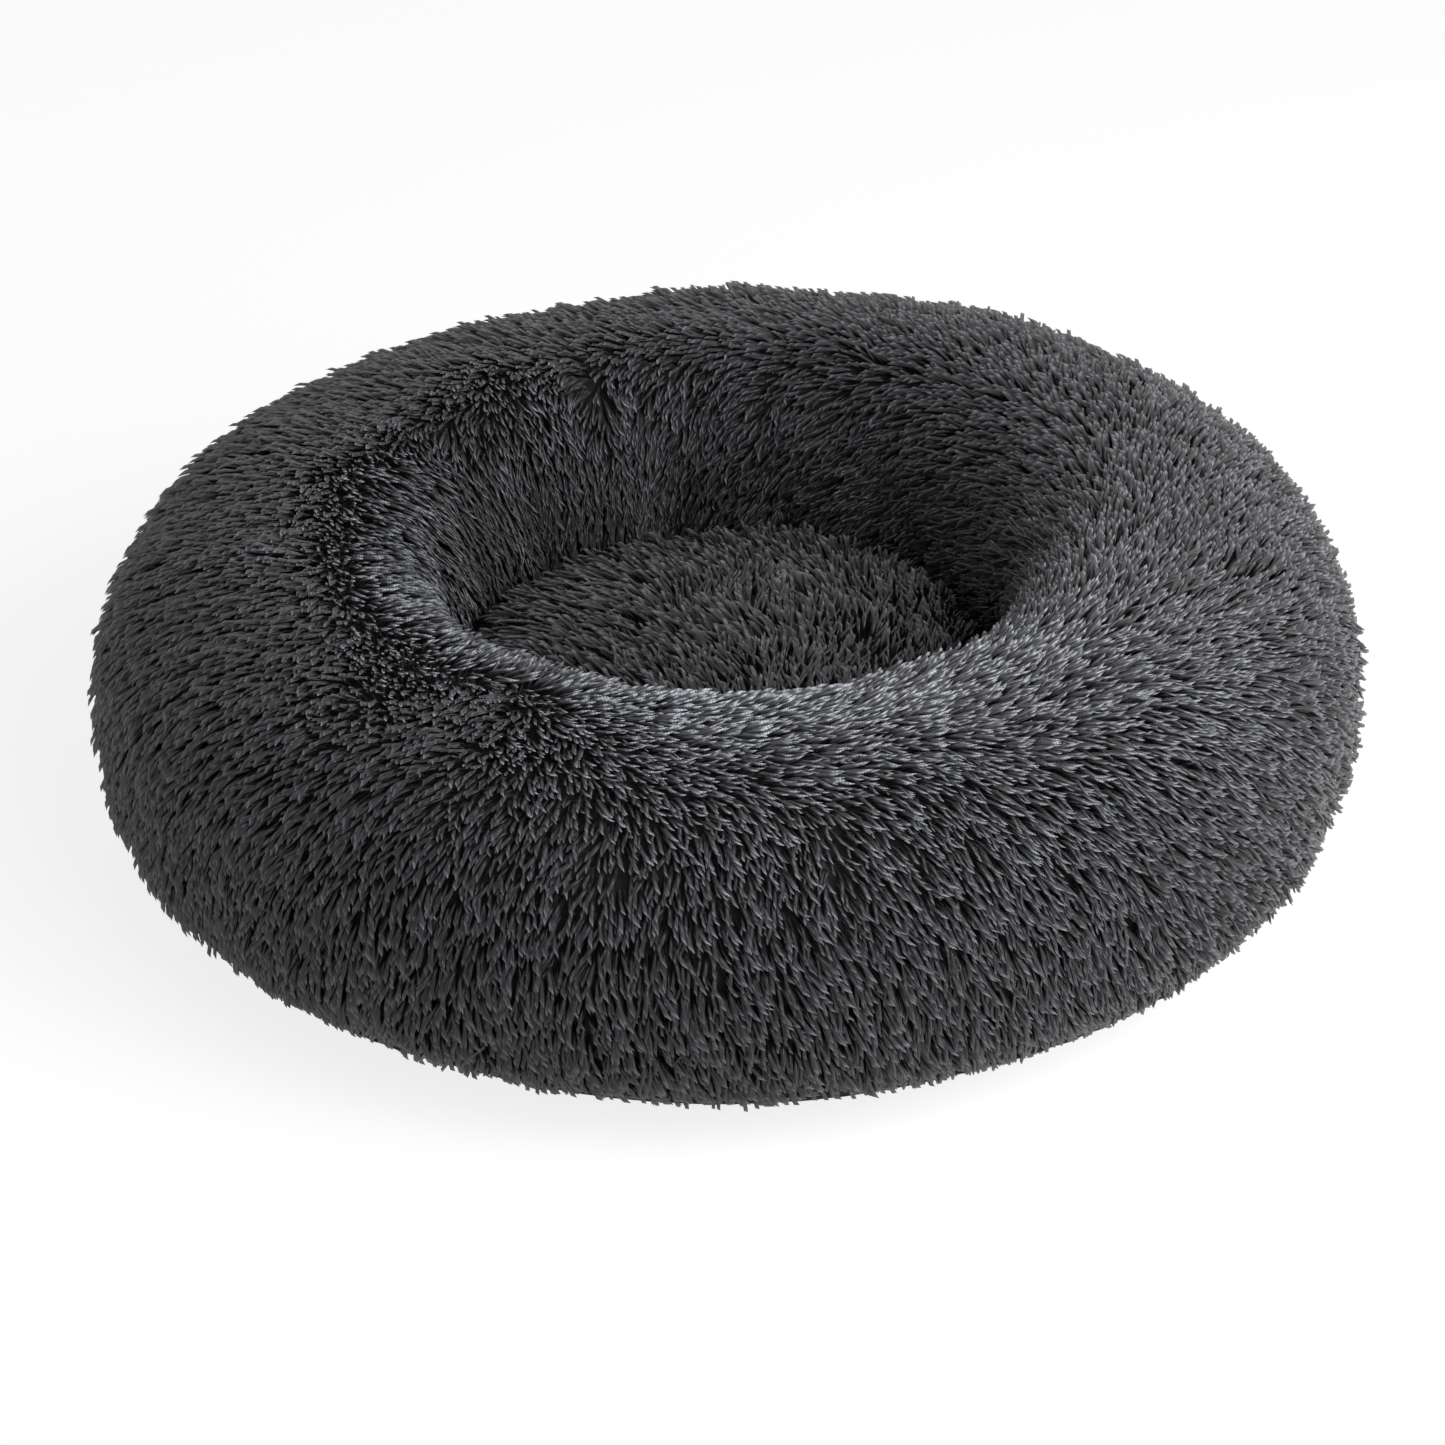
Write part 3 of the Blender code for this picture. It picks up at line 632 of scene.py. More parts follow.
class Finishes:
    """The bed's materials, each made once."""

    def __init__(self) -> None:
        """Make the materials."""
        self.plush = PlushFinish()
        self.pile = self.plush.material()
        self.ground = UnderPileFinish().material()
        self.base = ClothFinish("base_cloth", (0.010, 0.010, 0.011), (0.045, 0.045, 0.048)).material()
        self.lining = ClothFinish("lining_cloth", (0.025, 0.025, 0.027), (0.085, 0.085, 0.090),
                                  threads=900.0, relief=0.0001).material()
        self.binding = ClothFinish("binding_cloth", (0.015, 0.015, 0.016), (0.060, 0.060, 0.064),
                                   Weave.RIBBED, 700.0).material()
        self.tape = ClothFinish("tape_cloth", (0.009, 0.009, 0.010), (0.040, 0.040, 0.044),
                                Weave.HERRINGBONE, 1300.0).material()
        self.thread = MouldedFinish("sewing_thread", (0.050, 0.050, 0.054), (0.090, 0.090, 0.095),
                                    0.70).material()
        self.rubber = MouldedFinish("grip_rubber", (0.055, 0.055, 0.058), (0.080, 0.080, 0.083),
                                    0.55).material()
        self.plastic = MouldedFinish("tooth_plastic", (0.018, 0.018, 0.020), (0.040, 0.040, 0.043),
                                     0.38).material()
        self.metal = MouldedFinish("zip_metal", (0.13, 0.13, 0.14), (0.30, 0.30, 0.31), 0.32, 0.9).material()


# The pile

@dataclass(frozen=True)
class Pile:
    """How one stretch of plush stands: its tufts' size, closeness, lean and unrest."""

    spacing: float = 0.00170
    closeness: float = 460000.0
    length: float = 0.0160
    width: float = 0.00132
    lean: float = 0.72
    droop: float = 0.36
    side_curl: float = 0.24
    unrest: float = 0.36
    wander: float = 0.0110
    lock: float = 0.0056
    gather: float = 0.56
    lowest: float = 0.0006


@dataclass(frozen=True)
class Tuft:
    """The shape of one tuft, and how far locks and the tufts in them differ from one another."""

    lock_tones: float = 0.24
    own_tones: Span = (0.04, 0.38)
    palest: float = 0.999
    lock_lengths: Span = (0.86, 1.10)
    own_lengths: Span = (0.74, 1.14)
    own_rises: Span = (-0.20, 0.26)
    slant: float = 0.10
    root_width: float = 0.54
    swell: float = 1.14
    narrowing: float = 0.92
    flatness: float = 0.7
    forward_droop: float = 0.5
    map_across: Span = (0.1, 0.9)
    map_up: Span = (0.01, 0.99)


class PileTree(GrowingTree):
    """Plants tufts on a skin, combs them and draws them together into locks."""

    vectors = ("comb", "up", "flow", "pull", "planted", "shape")
    numbers = ("cover", "long", "stand", "pale", "tone", "grown", "curl", "rise")

    def __init__(self, finish: PlushFinish, material: bpy.types.Material) -> None:
        """Build the tree once, for every stretch of pile.

        Args:
            finish: Gives the number of tones that the tufts are sorted into.
            material: The pile's material.
        """
        super().__init__("plush_pile", [f.name for f in fields(Pile)], ["seed"])
        self.tuft = Tuft()
        tufts = self.wires.out("GeometryNodeInstanceOnPoints", {"Points": self._planted(),
                                                                "Instance": self._template()})
        loose = self.wires.out("GeometryNodeRealizeInstances", {"Geometry": tufts})
        bent = self.wires.out("GeometryNodeSetPosition", {"Geometry": loose, "Position": self._bend()})
        self._end(self._kept(bent, BAKED_MAP, self._map(float(finish.tones)), "FLOAT2", "CORNER"), material)

    def _named(self, name: str) -> Wire:
        """An attribute of the skin, the tuft or its template."""
        kind = "FLOAT_VECTOR" if name in self.vectors else "FLOAT"
        return self.wires.out("GeometryNodeInputNamedAttribute", {"Name": name}, data_type=kind)

    def _kept(self, geometry: Wire, name: str, value: Wire, kind: str = "", domain: str = "POINT") -> Wire:
        """Geometry with a value stored on it under a name."""
        kind = kind or ("FLOAT_VECTOR" if value.is_vector else "FLOAT")
        return self.wires.out("GeometryNodeStoreNamedAttribute", {
            "Geometry": geometry, "Name": name, "Value": value}, data_type=kind, domain=domain)

    def _chance(self, low: float, high: float, offset: int) -> Wire:
        """A random number for each tuft, from a seed of its own."""
        return self.wires.out("FunctionNodeRandomValue", {
            "Min_001": low, "Max_001": high, "Seed": self.given["seed"] + float(offset)}, data_type="FLOAT")

    def _template(self) -> Wire:
        """A three-sided tapered tuft of unit length, which keeps its own shape as an attribute."""
        cone = self.wires.out("GeometryNodeMeshCone", {
            "Vertices": 3, "Side Segments": 2, "Fill Segments": 1, "Radius Top": 1.0, "Radius Bottom": 1.0,
            "Depth": 1.0}, fill_type="NGON")
        return self._kept(cone, "shape", self.wires.out("GeometryNodeInputPosition"))

    def _planted(self) -> Wire:
        """Points scattered on the skin, each with what its tuft has to know."""
        wires, given, tuft = self.wires, self.given, self.tuft
        points, up = wires.outs("GeometryNodeDistributePointsOnFaces", {
            "Mesh": given["Geometry"], "Distance Min": given["spacing"], "Density Max": given["closeness"],
            "Seed": given["seed"], "Density Factor": self._named("cover")},
            "Points", "Normal", distribute_method="POISSON")
        place = wires.out("GeometryNodeInputPosition")
        wander, = wires.outs("ShaderNodeTexNoise", {
            "Vector": place, "Scale": 1.0 / given["wander"], "Detail": 1.0}, "Color")
        combed = self._named("comb") + (wander * 2.0 - (1.0, 1.0, 1.0)) * given["unrest"]
        middle, colour = wires.outs("ShaderNodeTexVoronoi", {
            "Vector": place, "Scale": 1.0 / given["lock"]}, "Position", "Color")
        lock_tone, lock_length, _ = colour.split()
        # The skin's pale adds painted light to each tuft's tone: painted sheen and painted shade.
        tone = lock_tone * tuft.lock_tones + self._chance(*tuft.own_tones, 11) + self._named("pale")
        length = lock_length.spread(0.0, 1.0, *tuft.lock_lengths) * self._chance(*tuft.own_lengths, 23)
        notes = {"up": up, "flow": self._flat(combed, up).done("NORMALIZE"),
                 "pull": self._flat(middle - place, up) * given["gather"], "planted": place,
                 "tone": tone.spread(0.0, tuft.palest, 0.0, tuft.palest), "grown": length,
                 "curl": self._chance(-1.0, 1.0, 37), "rise": self._chance(*tuft.own_rises, 41)}
        for name, value in notes.items():
            points = self._kept(points, name, value)
        return points

    def _flat(self, vector: Wire, up: Wire) -> Wire:
        """The part of a vector that lies along the skin."""
        return vector - up * vector.done("DOT_PRODUCT", up)

    def _bend(self) -> Wire:
        """Where each point of a tuft goes: along its bent line, and out from it by its width."""
        given, tuft = self.given, self.tuft
        x, y, z = self._named("shape").split()
        along = z * (x * tuft.slant + 1.0)
        squared = along * along
        up, flow, grown = (self._named(name) for name in ("up", "flow", "grown"))
        side = up.done("CROSS_PRODUCT", flow)
        tilt = given["lean"] + self._named("rise") + self._named("stand")
        start = flow * tilt.done("COSINE") + up * tilt.done("SINE")
        droop = given["droop"] * tilt.done("SINE")
        curl = given["side_curl"] * self._named("curl")
        bend = flow * (droop * tuft.forward_droop) + up * (droop * -1.0) + side * curl
        line = (start * along + bend * squared) * (given["length"] * (grown * self._named("long")))
        taper = along * tuft.swell + tuft.root_width - squared * tuft.narrowing
        width = given["width"] * taper * grown
        heading = (start + bend * (along * 2.0)).done("NORMALIZE")
        lift = heading.done("CROSS_PRODUCT", side)
        out = side * (x * width) + lift * (y * (width * tuft.flatness))
        x, y, z = (self._named("planted") + line + out + self._named("pull") * squared).split()
        return self.wires.out("ShaderNodeCombineXYZ", {0: x, 1: y, 2: z.done("MAXIMUM", given["lowest"])})

    def _map(self, tones: float) -> Wire:
        """A tuft's place in the map: a column for its tone, a height for the distance from its root."""
        x, _, z = self._named("shape").split()
        across = x.spread(-0.9, 0.9, *self.tuft.map_across)
        column = ((self._named("tone") * tones).done("FLOOR") + across) / tones
        return self.wires.out("ShaderNodeCombineXYZ", {0: column, 1: z.spread(0.0, 1.0, *self.tuft.map_up)})

    def grow(self, grid: np.ndarray, normal: np.ndarray, comb: np.ndarray, growth: dict[str, np.ndarray],
             pile: Pile, seed: int, closed: bool = False) -> bpy.types.Mesh:
        """Grow pile on a stretch of skin.

        Args:
            grid: The stretch's points as rows by columns by three.
            normal: Its outward directions.
            comb: Which way the pile lies at each point.
            growth: Numbers for each point: cover, long, stand and pale, the painted light added to the tone.
            pile: How the tufts stand.
            seed: Seed of this stretch's scatter.
            closed: Whether the stretch goes all the way round.

        Returns:
            A plain mesh of the tufts.
        """
        skin = skin_mesh(grid, normal, closed)
        directions = skin.attributes.new("comb", "FLOAT_VECTOR", "POINT").data
        directions.foreach_set("vector", comb.astype(np.float32).ravel())
        for name, values in growth.items():
            numbers = skin.attributes.new(name, "FLOAT", "POINT").data
            numbers.foreach_set("value", values.astype(np.float32).ravel())
        made = self.run(skin, {**asdict(pile), "seed": seed})
        for name in [a.name for a in made.attributes if a.name in self.vectors + self.numbers]:
            made.attributes.remove(made.attributes[name])
        return made


# Sewn bags, blown up by their filling

@dataclass(frozen=True)
class Filling:
    """How hard a sewn bag is stuffed, how slack its cloth was cut, and how far its folds may stand."""

    pressure: float = 4.0
    slack: float = 0.03
    stiffness: float = 15.0
    shear_share: float = 0.5
    bending: float = 0.5
    mass: float = 0.3
    steps: int = 20
    held_rows: int = 2
    most: float = 0.0035
    smoothings: int = 2
    fade: float = 0.08

    def _blown(self, grid: np.ndarray, normal: np.ndarray) -> np.ndarray:
        """Simulate a skin as cloth that its two seams hold, and give where its points go."""
        rows, columns = grid.shape[:2]
        mesh = skin_mesh(grid, normal, True)
        bag = link("blown_bag", mesh)
        edge = [*range(self.held_rows), *range(rows - self.held_rows, rows)]
        bag.vertex_groups.new(name="seams").add(
            [row * columns + column for row in edge for column in range(columns)], 1.0, "REPLACE")
        cloth = bag.modifiers.new("filling", "CLOTH").settings
        cloth.mass = self.mass
        cloth.tension_stiffness = cloth.compression_stiffness = self.stiffness
        cloth.shear_stiffness = self.shear_share * self.stiffness
        cloth.bending_stiffness = self.bending
        cloth.use_pressure = True
        cloth.uniform_pressure_force = self.pressure
        cloth.shrink_min = -self.slack
        cloth.vertex_group_mass = "seams"
        cloth.effector_weights.gravity = 0.0
        for step in range(1, self.steps + 1):
            bpy.context.scene.frame_set(step)
        blown = bag.evaluated_get(bpy.context.evaluated_depsgraph_get()).data
        moved = np.empty(rows * columns * 3, np.float32)
        blown.vertices.foreach_get("co", moved)
        bpy.context.scene.frame_set(1)
        bpy.data.objects.remove(bag, do_unlink=True)
        bpy.data.meshes.remove(mesh)
        return moved.reshape(grid.shape)

    def fold(self, grid: np.ndarray, normal: np.ndarray) -> np.ndarray:
        """Fold a skin as its filling does.

        Only what differs along a row is kept, so the bag has its own section with folds and lumps.

        Args:
            grid: The skin's points as rows by columns by three, closed round its columns.
            normal: The skin's outward directions.

        Returns: The folded skin.
        """
        out = ((self._blown(grid, normal) - grid) * normal).sum(-1)
        out = self.most * np.tanh((out - out.mean(1, keepdims=True)) / self.most)
        for _ in range(self.smoothings):
            out = 0.25 * (np.roll(out, 1, 1) + np.roll(out, -1, 1)) + 0.5 * out
            out[1:-1] = 0.25 * (out[:-2] + out[2:]) + 0.5 * out[1:-1]
        share = np.linspace(0.0, 1.0, grid.shape[0])[:, None]
        out = out * ease(share, 0.0, self.fade) * ease(1 - share, 0.0, self.fade)
        return grid + normal * out[..., None]


# The stuffed ring

@dataclass(frozen=True)
class Lie:
    """How the plush lies at one turn round the ring: on its wall, on its crown and in the well.

    Each pair is how much it runs round the ring against the clock, and how much away from the crown.
    Sleek is how flat it lies on the crown, and how much painted sheen the crown's pile gets there.
    """

    turn: float
    wall: Span
    crown: Span
    well: Span
    sleek: float = 0.0


@dataclass(frozen=True)
class Whorl:
    """A spot from which the plush parts: where on the ring, how far it reaches, how strong and how bare."""

    turn: float
    share: float
    reach: float
    strength: float = 1.6
    tall: float = 1.0
    bare: float = 0.0
    stand: float = 0.0
    calm: float = 0.35


@dataclass(frozen=True)
class RingGrowth:
    """Where the ring's pile is sparser, shorter, flatter, darker or paler, and by how much: darker is painted
    shade, paler is painted sheen.

    Spans are heights, or distances from the crown or from the middle, in metres.
    """

    outside: Span = (0.012, 0.100)
    inside: Span = (0.004, 0.050)
    hidden: Span = (0.075, 0.125)
    # deep: heights below which the well's pile gets painted shade.
    deep: Span = (0.100, 0.165)
    flank_top: float = 0.090
    hem_rise: float = 0.03
    zip_fade: float = 6.0
    thin: Span = (0.020, 0.080)
    thin_left: Span = (0.040, 0.200)
    # sleek_end and sleek_well_end: where the painted sheen of the sleek crown fades out.
    sleek_end: Span = (0.0, 0.045)
    sleek_well_end: Span = (0.03, 0.06)
    # shade_well and shade_left: where painted shade falls on the well's left lip.
    shade_well: Span = (0.0, 0.020)
    shade_left: Span = (0.030, 0.130)
    cover: float = 0.85
    parted_cover: float = 0.15
    hidden_cover: float = 0.38
    thin_cover: float = 0.18
    hem_length: float = 0.26
    flank_length: float = 0.30
    hidden_length: float = 0.35
    zip_length: float = 0.15
    hem_stand: float = 0.30
    flank_stand: float = 0.22
    parted_stand: float = 0.16
    sleek_stand: float = 0.26
    # left_shade and shade: strengths of painted shade on the tone, on the well's left lip and low in the
    # well.
    left_shade: float = 1.2
    # Strength of the painted sheen added to the tone where the pile lies sleek.
    sleek_painted_sheen: float = 0.22
    shade: float = 0.20
    unrest: Layers = ((0.34, 0.075, 11), (0.20, 0.030, 17))
    uneven: Layers = ((0.22, 0.05, 29),)


@dataclass
class StuffedRing:
    """The ring: a stuffed bag under plush, fullest at the back, open to the well."""

    well_radius: float = 0.1315
    ring_width: float = 0.1650
    crown_setback: float = 0.0525
    ring_height: float = 0.1740
    waist_height: float = 0.0840
    well_waist_height: float = 0.0800
    well_seam_setback: float = 0.0055
    seam_height: float = 0.0074
    hem_height: float = 0.0300
    crown_roundness: float = 2.19
    belly_roundness: float = 2.48
    fur_thickness: float = 0.0080
    back_rise_share: float = 0.035
    side_rise_share: float = 0.010
    shoulder_rise_share: float = 0.022
    shoulder_rise_angle: float = 25.0
    lobe_share: float = 0.012
    oval_share: float = 0.006
    undercut: float = 0.0580
    foot_gap: float = 0.006
    floor_gap: float = 0.001
    zip_angle: float = 90.0
    zip_half_sweep: float = 50.0
    root_depth: float = 0.0045
    lump_height: float = 0.0022
    lump_fade: float = 0.12
    lumps: Layers = ((1.0, 0.085, 3), (0.4, 0.036, 5))
    parting: float = 0.0240
    around: int = 216
    rows: int = 84
    quarter_points: int = 60
    sectors: int = 8
    first_seed: int = 100
    pile: Pile = field(default_factory=Pile)
    growth: RingGrowth = field(default_factory=RingGrowth)
    filling: Filling = field(default_factory=Filling)
    lies: tuple[Lie, ...] = (
        Lie(-145.0, (-0.05, 1.0), (0.25, 0.90), (0.40, 0.80)),
        Lie(-120.0, (-0.10, 1.0), (0.05, 0.80), (0.80, 0.40)),
        Lie(-96.0, (0.15, 1.0), (0.90, 0.30), (1.00, 0.20), 1.0),
        Lie(-60.0, (0.30, 0.95), (1.00, 0.25), (1.00, 0.15), 0.8),
        Lie(-25.0, (0.60, 0.70), (0.85, 0.45), (0.95, 0.20), 0.5),
        Lie(20.0, (0.75, 0.60), (0.80, 0.55), (0.95, 0.35)),
        Lie(60.0, (0.70, 0.65), (0.75, 0.60), (0.80, 0.70)),
        Lie(100.0, (0.60, 0.75), (0.75, 0.60), (0.45, 0.95)),
        Lie(135.0, (0.35, 0.90), (0.60, 0.70), (0.20, 1.00)),
        Lie(170.0, (0.20, 0.95), (0.50, 0.80), (0.25, 0.95)))
    whorls: tuple[Whorl, ...] = (
        Whorl(-118.0, 0.425, 0.020, 0.6, stand=0.28),
        Whorl(-170.0, 0.506, 0.013, 0.15),
        Whorl(-148.0, 0.494, 0.013, 0.15),
        Whorl(-137.0, 0.450, 0.036, 0.2, stand=0.50),
        Whorl(113.0, 0.627, 0.013, 0.7, 2.2, 0.25),
        Whorl(80.0, 0.627, 0.013, 0.7, 2.2, 0.25),
        Whorl(63.0, 0.602, 0.013, 0.7, 2.0, 0.25),
        Whorl(-102.0, 0.301, 0.009, 0.6, 1.8, 0.60),
        Whorl(-80.0, 0.313, 0.008, 0.6, 2.0, 0.50),
        Whorl(-102.0, 0.157, 0.007, 0.5, 1.3, 0.55),
        Whorl(-97.0, 0.120, 0.007, 0.5, 1.3, 0.45),
        Whorl(-35.0, 0.482, 0.014, 0.6, 0.5, 0.30))

    @property
    def bed_radius(self) -> float:
        """Radius of the ring at its waist."""
        return self.well_radius + self.ring_width

    @property
    def crown_radius(self) -> float:
        """Radius of the ring's highest line."""
        return self.well_radius + self.crown_setback

    def outline(self) -> np.ndarray:
        """The ring's outer skin as (radius, height) rows, from the hem over the crown to the well's seam."""
        share = np.linspace(0.0, 1.0, self.quarter_points)
        half = self.bed_radius - self.crown_radius
        across, below = squared_quarter(share[::-1], self.belly_roundness)
        belly = np.stack([self.crown_radius + half * across, self.waist_height * (1 - below)], 1)
        belly = belly[belly[:, 1] > self.hem_height]
        across, above = squared_quarter(share, self.crown_roundness)
        rise = self.ring_height - self.waist_height
        shoulder = np.stack([self.crown_radius + half * across, self.waist_height + rise * above], 1)
        across, above = squared_quarter(share[::-1], self.crown_roundness)
        rise = self.ring_height - self.well_waist_height
        lip = np.stack([self.crown_radius - self.crown_setback * across,
                        self.well_waist_height + rise * above], 1)
        wall = np.stack([self.well_radius + self.well_seam_setback * share ** 2,
                         self.well_waist_height + (self.seam_height - self.well_waist_height) * share], 1)
        return soft_path(np.concatenate([belly, shoulder[1:], lip[1:], wall[1:]]), self.rows, 0)

    def swell(self, points: np.ndarray) -> np.ndarray:
        """Give turned points the rise at the back and the soft lobes of a stuffed bag."""
        x, y, z = np.moveaxis(points, -1, 0)
        turn = np.arctan2(y, x)
        outward = np.maximum(np.hypot(x, y) - self.well_radius - self.fur_thickness, 0.0) / self.ring_width
        lobes = self.lobe_share * (np.sin(3 * turn) + np.sin(turn)) + self.oval_share * np.sin(2 * turn)
        facing = np.maximum(np.cos(turn - math.radians(self.shoulder_rise_angle)), 0.0)
        rise = self.back_rise_share * np.sin(turn) + self.side_rise_share * np.cos(turn)
        rise = rise + self.shoulder_rise_share * facing ** 2
        grow = 1 + lobes * outward * ease(z, self.hem_height, self.waist_height)
        return np.stack([x * grow, y * grow, z * (1 + rise * ease(z, self.hem_height, self.ring_height))], -1)

    def skin(self) -> np.ndarray:
        """The ring's folded skin at its pile's roots, as rows by columns by three."""
        grid = self.swell(turned(self.outline(), self.around))
        normal = grid_directions(grid)[0]
        share = np.linspace(0.0, 1.0, self.rows)[:, None]
        edge = ease(share, 0.0, self.lump_fade) * ease(1 - share, 0.0, self.lump_fade)
        lumps = drift(grid, self.lumps)[..., 0] * self.lump_height * edge
        return self.filling.fold(grid + normal * (lumps - self.root_depth)[..., None], normal)

    def _off_crown(self) -> np.ndarray:
        """How far each row lies from the crown along the outline: above 0 outside it, below 0 in the well."""
        outline = self.outline()
        run = run_along(outline)
        return (run[int(np.argmax(outline[:, 1]))] - run)[:, None]

    def comb(self, points: np.ndarray, along: np.ndarray, down: np.ndarray) -> np.ndarray:
        """The way the plush lies: as its lies say, parted round the whorls, with a little unrest.

        Args:
            points: The skin as rows by columns by three.
            along: Directions round the ring at its points.
            down: Directions down the outline at them.

        Returns:
            A direction for each point.
        """
        off = self._off_crown()
        outside, inside = ease(off, *self.growth.outside), ease(-off, *self.growth.inside)
        zones = (("wall", outside), ("crown", 1 - outside - inside), ("well", inside))
        round_it, away = (
            sum(share * self._at_turn(points, [getattr(lie, zone)[k] for lie in self.lies])
                for zone, share in zones)
            for k in (0, 1))
        side = np.tanh(off / self.parting)
        flow = along * round_it[..., None] - down * (away * side)[..., None]
        for whorl in self.whorls:
            apart, near = self._near(points, whorl, along, down)
            flow = flow + apart * (whorl.strength * near)[..., None]
        return unit(flow + drift(points, self.growth.unrest))

    def _at_turn(self, points: np.ndarray, values: Sequence[float]) -> np.ndarray:
        """A value given at the turn of each lie, read at the turns of the points."""
        turn = np.degrees(np.arctan2(points[..., 1], points[..., 0]))
        return np.interp(turn, [lie.turn for lie in self.lies], values, period=360.0)

    def _near(self, points: np.ndarray, whorl: Whorl, along: np.ndarray,
              down: np.ndarray) -> tuple[np.ndarray, np.ndarray]:
        """What a whorl does at each point.

        Args:
            points: The skin as rows by columns by three.
            whorl: The whorl.
            along: Directions round the ring.
            down: Directions down the outline.

        Returns:
            Directions away from the whorl, and how much each point is within its reach.
        """
        row = round(whorl.share * (self.rows - 1))
        column = round((whorl.turn % 360.0) / 360.0 * self.around) % self.around
        apart = points - points[row, column]
        across = (apart * along).sum(-1)
        below = (apart * down).sum(-1) / whorl.tall
        far = np.sqrt(across ** 2 + below ** 2) / whorl.reach
        aside = along * across[..., None] + down * (below / whorl.tall)[..., None]
        return unit(aside) * ease(far, 0.0, whorl.calm)[..., None], np.exp(-far ** 2)

    def build(self, grower: PileTree, ground: bpy.types.Material) -> None:
        """Make the stuffed body and the stretches of pile on it.

        Args:
            grower: Plants the pile.
            ground: Material of the body, which shows between the tufts.
        """
        points = self.skin()
        normal, along, down = grid_directions(points)
        body = settle("ring_body", self._body(points), ground, "bed", "fur",
                      "ring_cover", "ring_liner", "ring_filling")
        comb = self.comb(points, along, down)
        growth = self._growth(points, along, down)
        width = self.around // self.sectors
        for sector in range(self.sectors):
            picked = [(sector * width + j) % self.around for j in range(width + 1)]
            local = {name: values[:, picked] for name, values in growth.items()}
            pile = grower.grow(points[:, picked], normal[:, picked], comb[:, picked], local, self.pile,
                               self.first_seed + sector)
            settle(f"ring_pile_{sector + 1}", pile, None, "bed", "fur")

    def _growth(self, points: np.ndarray, along: np.ndarray, down: np.ndarray) -> dict[str, np.ndarray]:
        """How close, how long and how upright the pile grows, and the painted light on it.

        Args:
            points: The skin as rows by columns by three.
            along: Directions round the ring.
            down: Directions down the outline.

        Returns:
            Cover, long, stand and pale for each point; pale is painted sheen less painted shade.
        """
        g = self.growth
        x, y, z = np.moveaxis(points, -1, 0)
        off = self._off_crown()
        inside = np.hypot(x, y) < self.crown_radius
        hidden = inside * (1 - ease(z, *g.hidden))
        flank = (1 - ease(z, self.hem_height, g.flank_top)) * ~inside * np.abs(x) / self.bed_radius
        hem = (1 - ease(z, self.hem_height, self.hem_height + g.hem_rise)) * ~inside
        off_zip = np.abs(np.degrees(np.arctan2(y, x)) - self.zip_angle)
        at_zip = (1 - ease(off_zip, self.zip_half_sweep, self.zip_half_sweep + g.zip_fade)) * hem
        parted = np.exp(-(off / self.parting) ** 2)
        thin = ease(off, *g.thin) * (1 - ease(x, *g.thin_left))
        cover = g.cover + g.parted_cover * parted - g.hidden_cover * hidden - g.thin_cover * thin
        long = (1.0 - g.hem_length * hem - g.flank_length * flank - g.hidden_length * hidden
                - g.zip_length * at_zip)
        # How sleek the pile lies on the crown: it stands lower there and gets painted sheen.
        sleek = self._at_turn(points, [lie.sleek for lie in self.lies]) * (1 - ease(off, *g.sleek_end)) * (
            1 - ease(-off, *g.sleek_well_end))
        stand = drift(points, g.uneven)[..., 0] - g.hem_stand * hem - g.flank_stand * flank
        stand = stand + g.parted_stand * parted * (1 - sleek) - g.sleek_stand * sleek
        # Painted shade: the tone darker low in the well and on the well's left lip.
        well_painted_shade = inside * (1 - ease(z, *g.deep)) + g.left_shade * ease(-off, *g.shade_well) * ease(
            -x, *g.shade_left)
        for whorl in self.whorls:
            near = self._near(points, whorl, along, down)[1]
            cover = cover * (1 - whorl.bare * near)
            stand = stand + whorl.stand * near
        # pale is painted light: painted sheen where the pile lies sleek, less painted shade in the well.
        return {"cover": cover, "long": long, "stand": stand, "pale": g.sleek_painted_sheen * sleek - g.shade * well_painted_shade}

    def _body(self, points: np.ndarray) -> bpy.types.Mesh:
        """The closed stuffed bag under the pile, with its flat foot."""
        low = self.seam_height + self.floor_gap
        low_in = points[-1] * 1.0
        low_in[:, 2] = low
        foot = turned(np.array([[self.bed_radius - self.undercut - self.foot_gap, low]]), self.around)
        return cloth_mesh(np.concatenate([points[:-1], low_in[None], foot]))


# The loose pad

@dataclass(frozen=True)
class PadGrowth:
    """Where the pad's pile is closer, shorter, more upright or darker with painted shade, and by how much."""

    left_lie: Colour = (-0.90, 0.35, 0.0)
    right_lie: Colour = (0.15, 1.00, 0.0)
    side_lie: Colour = (0.0, 0.0, -1.0)
    swing: Span = (-0.090, 0.100)
    unrest: Layers = ((0.75, 0.050, 43), (0.45, 0.022, 47))
    uneven: Layers = ((0.22, 0.04, 53),)
    top_below_edge: float = 0.012
    front_slant: float = 0.7
    front_right: Span = (0.000, 0.080)
    rim_start: float = 0.098
    cover: float = 0.72
    rim_cover: float = 0.28
    rim_length: float = 0.35
    seam_length: float = 0.26
    side_length: float = 0.36
    side_below_waist: float = 0.010
    top_stand: float = 0.12
    front_right_stand: float = 0.60
    rim_stand: float = 0.30
    rim_above_waist: float = 0.010
    rim_below_edge: float = 0.005
    # Painted shade on the tone: the whole pad's pile darker, more at its front right and in the crease at its
    # rim.
    pale: float = -0.20
    front_right_shade: float = 0.08
    rim_shade: float = 0.14


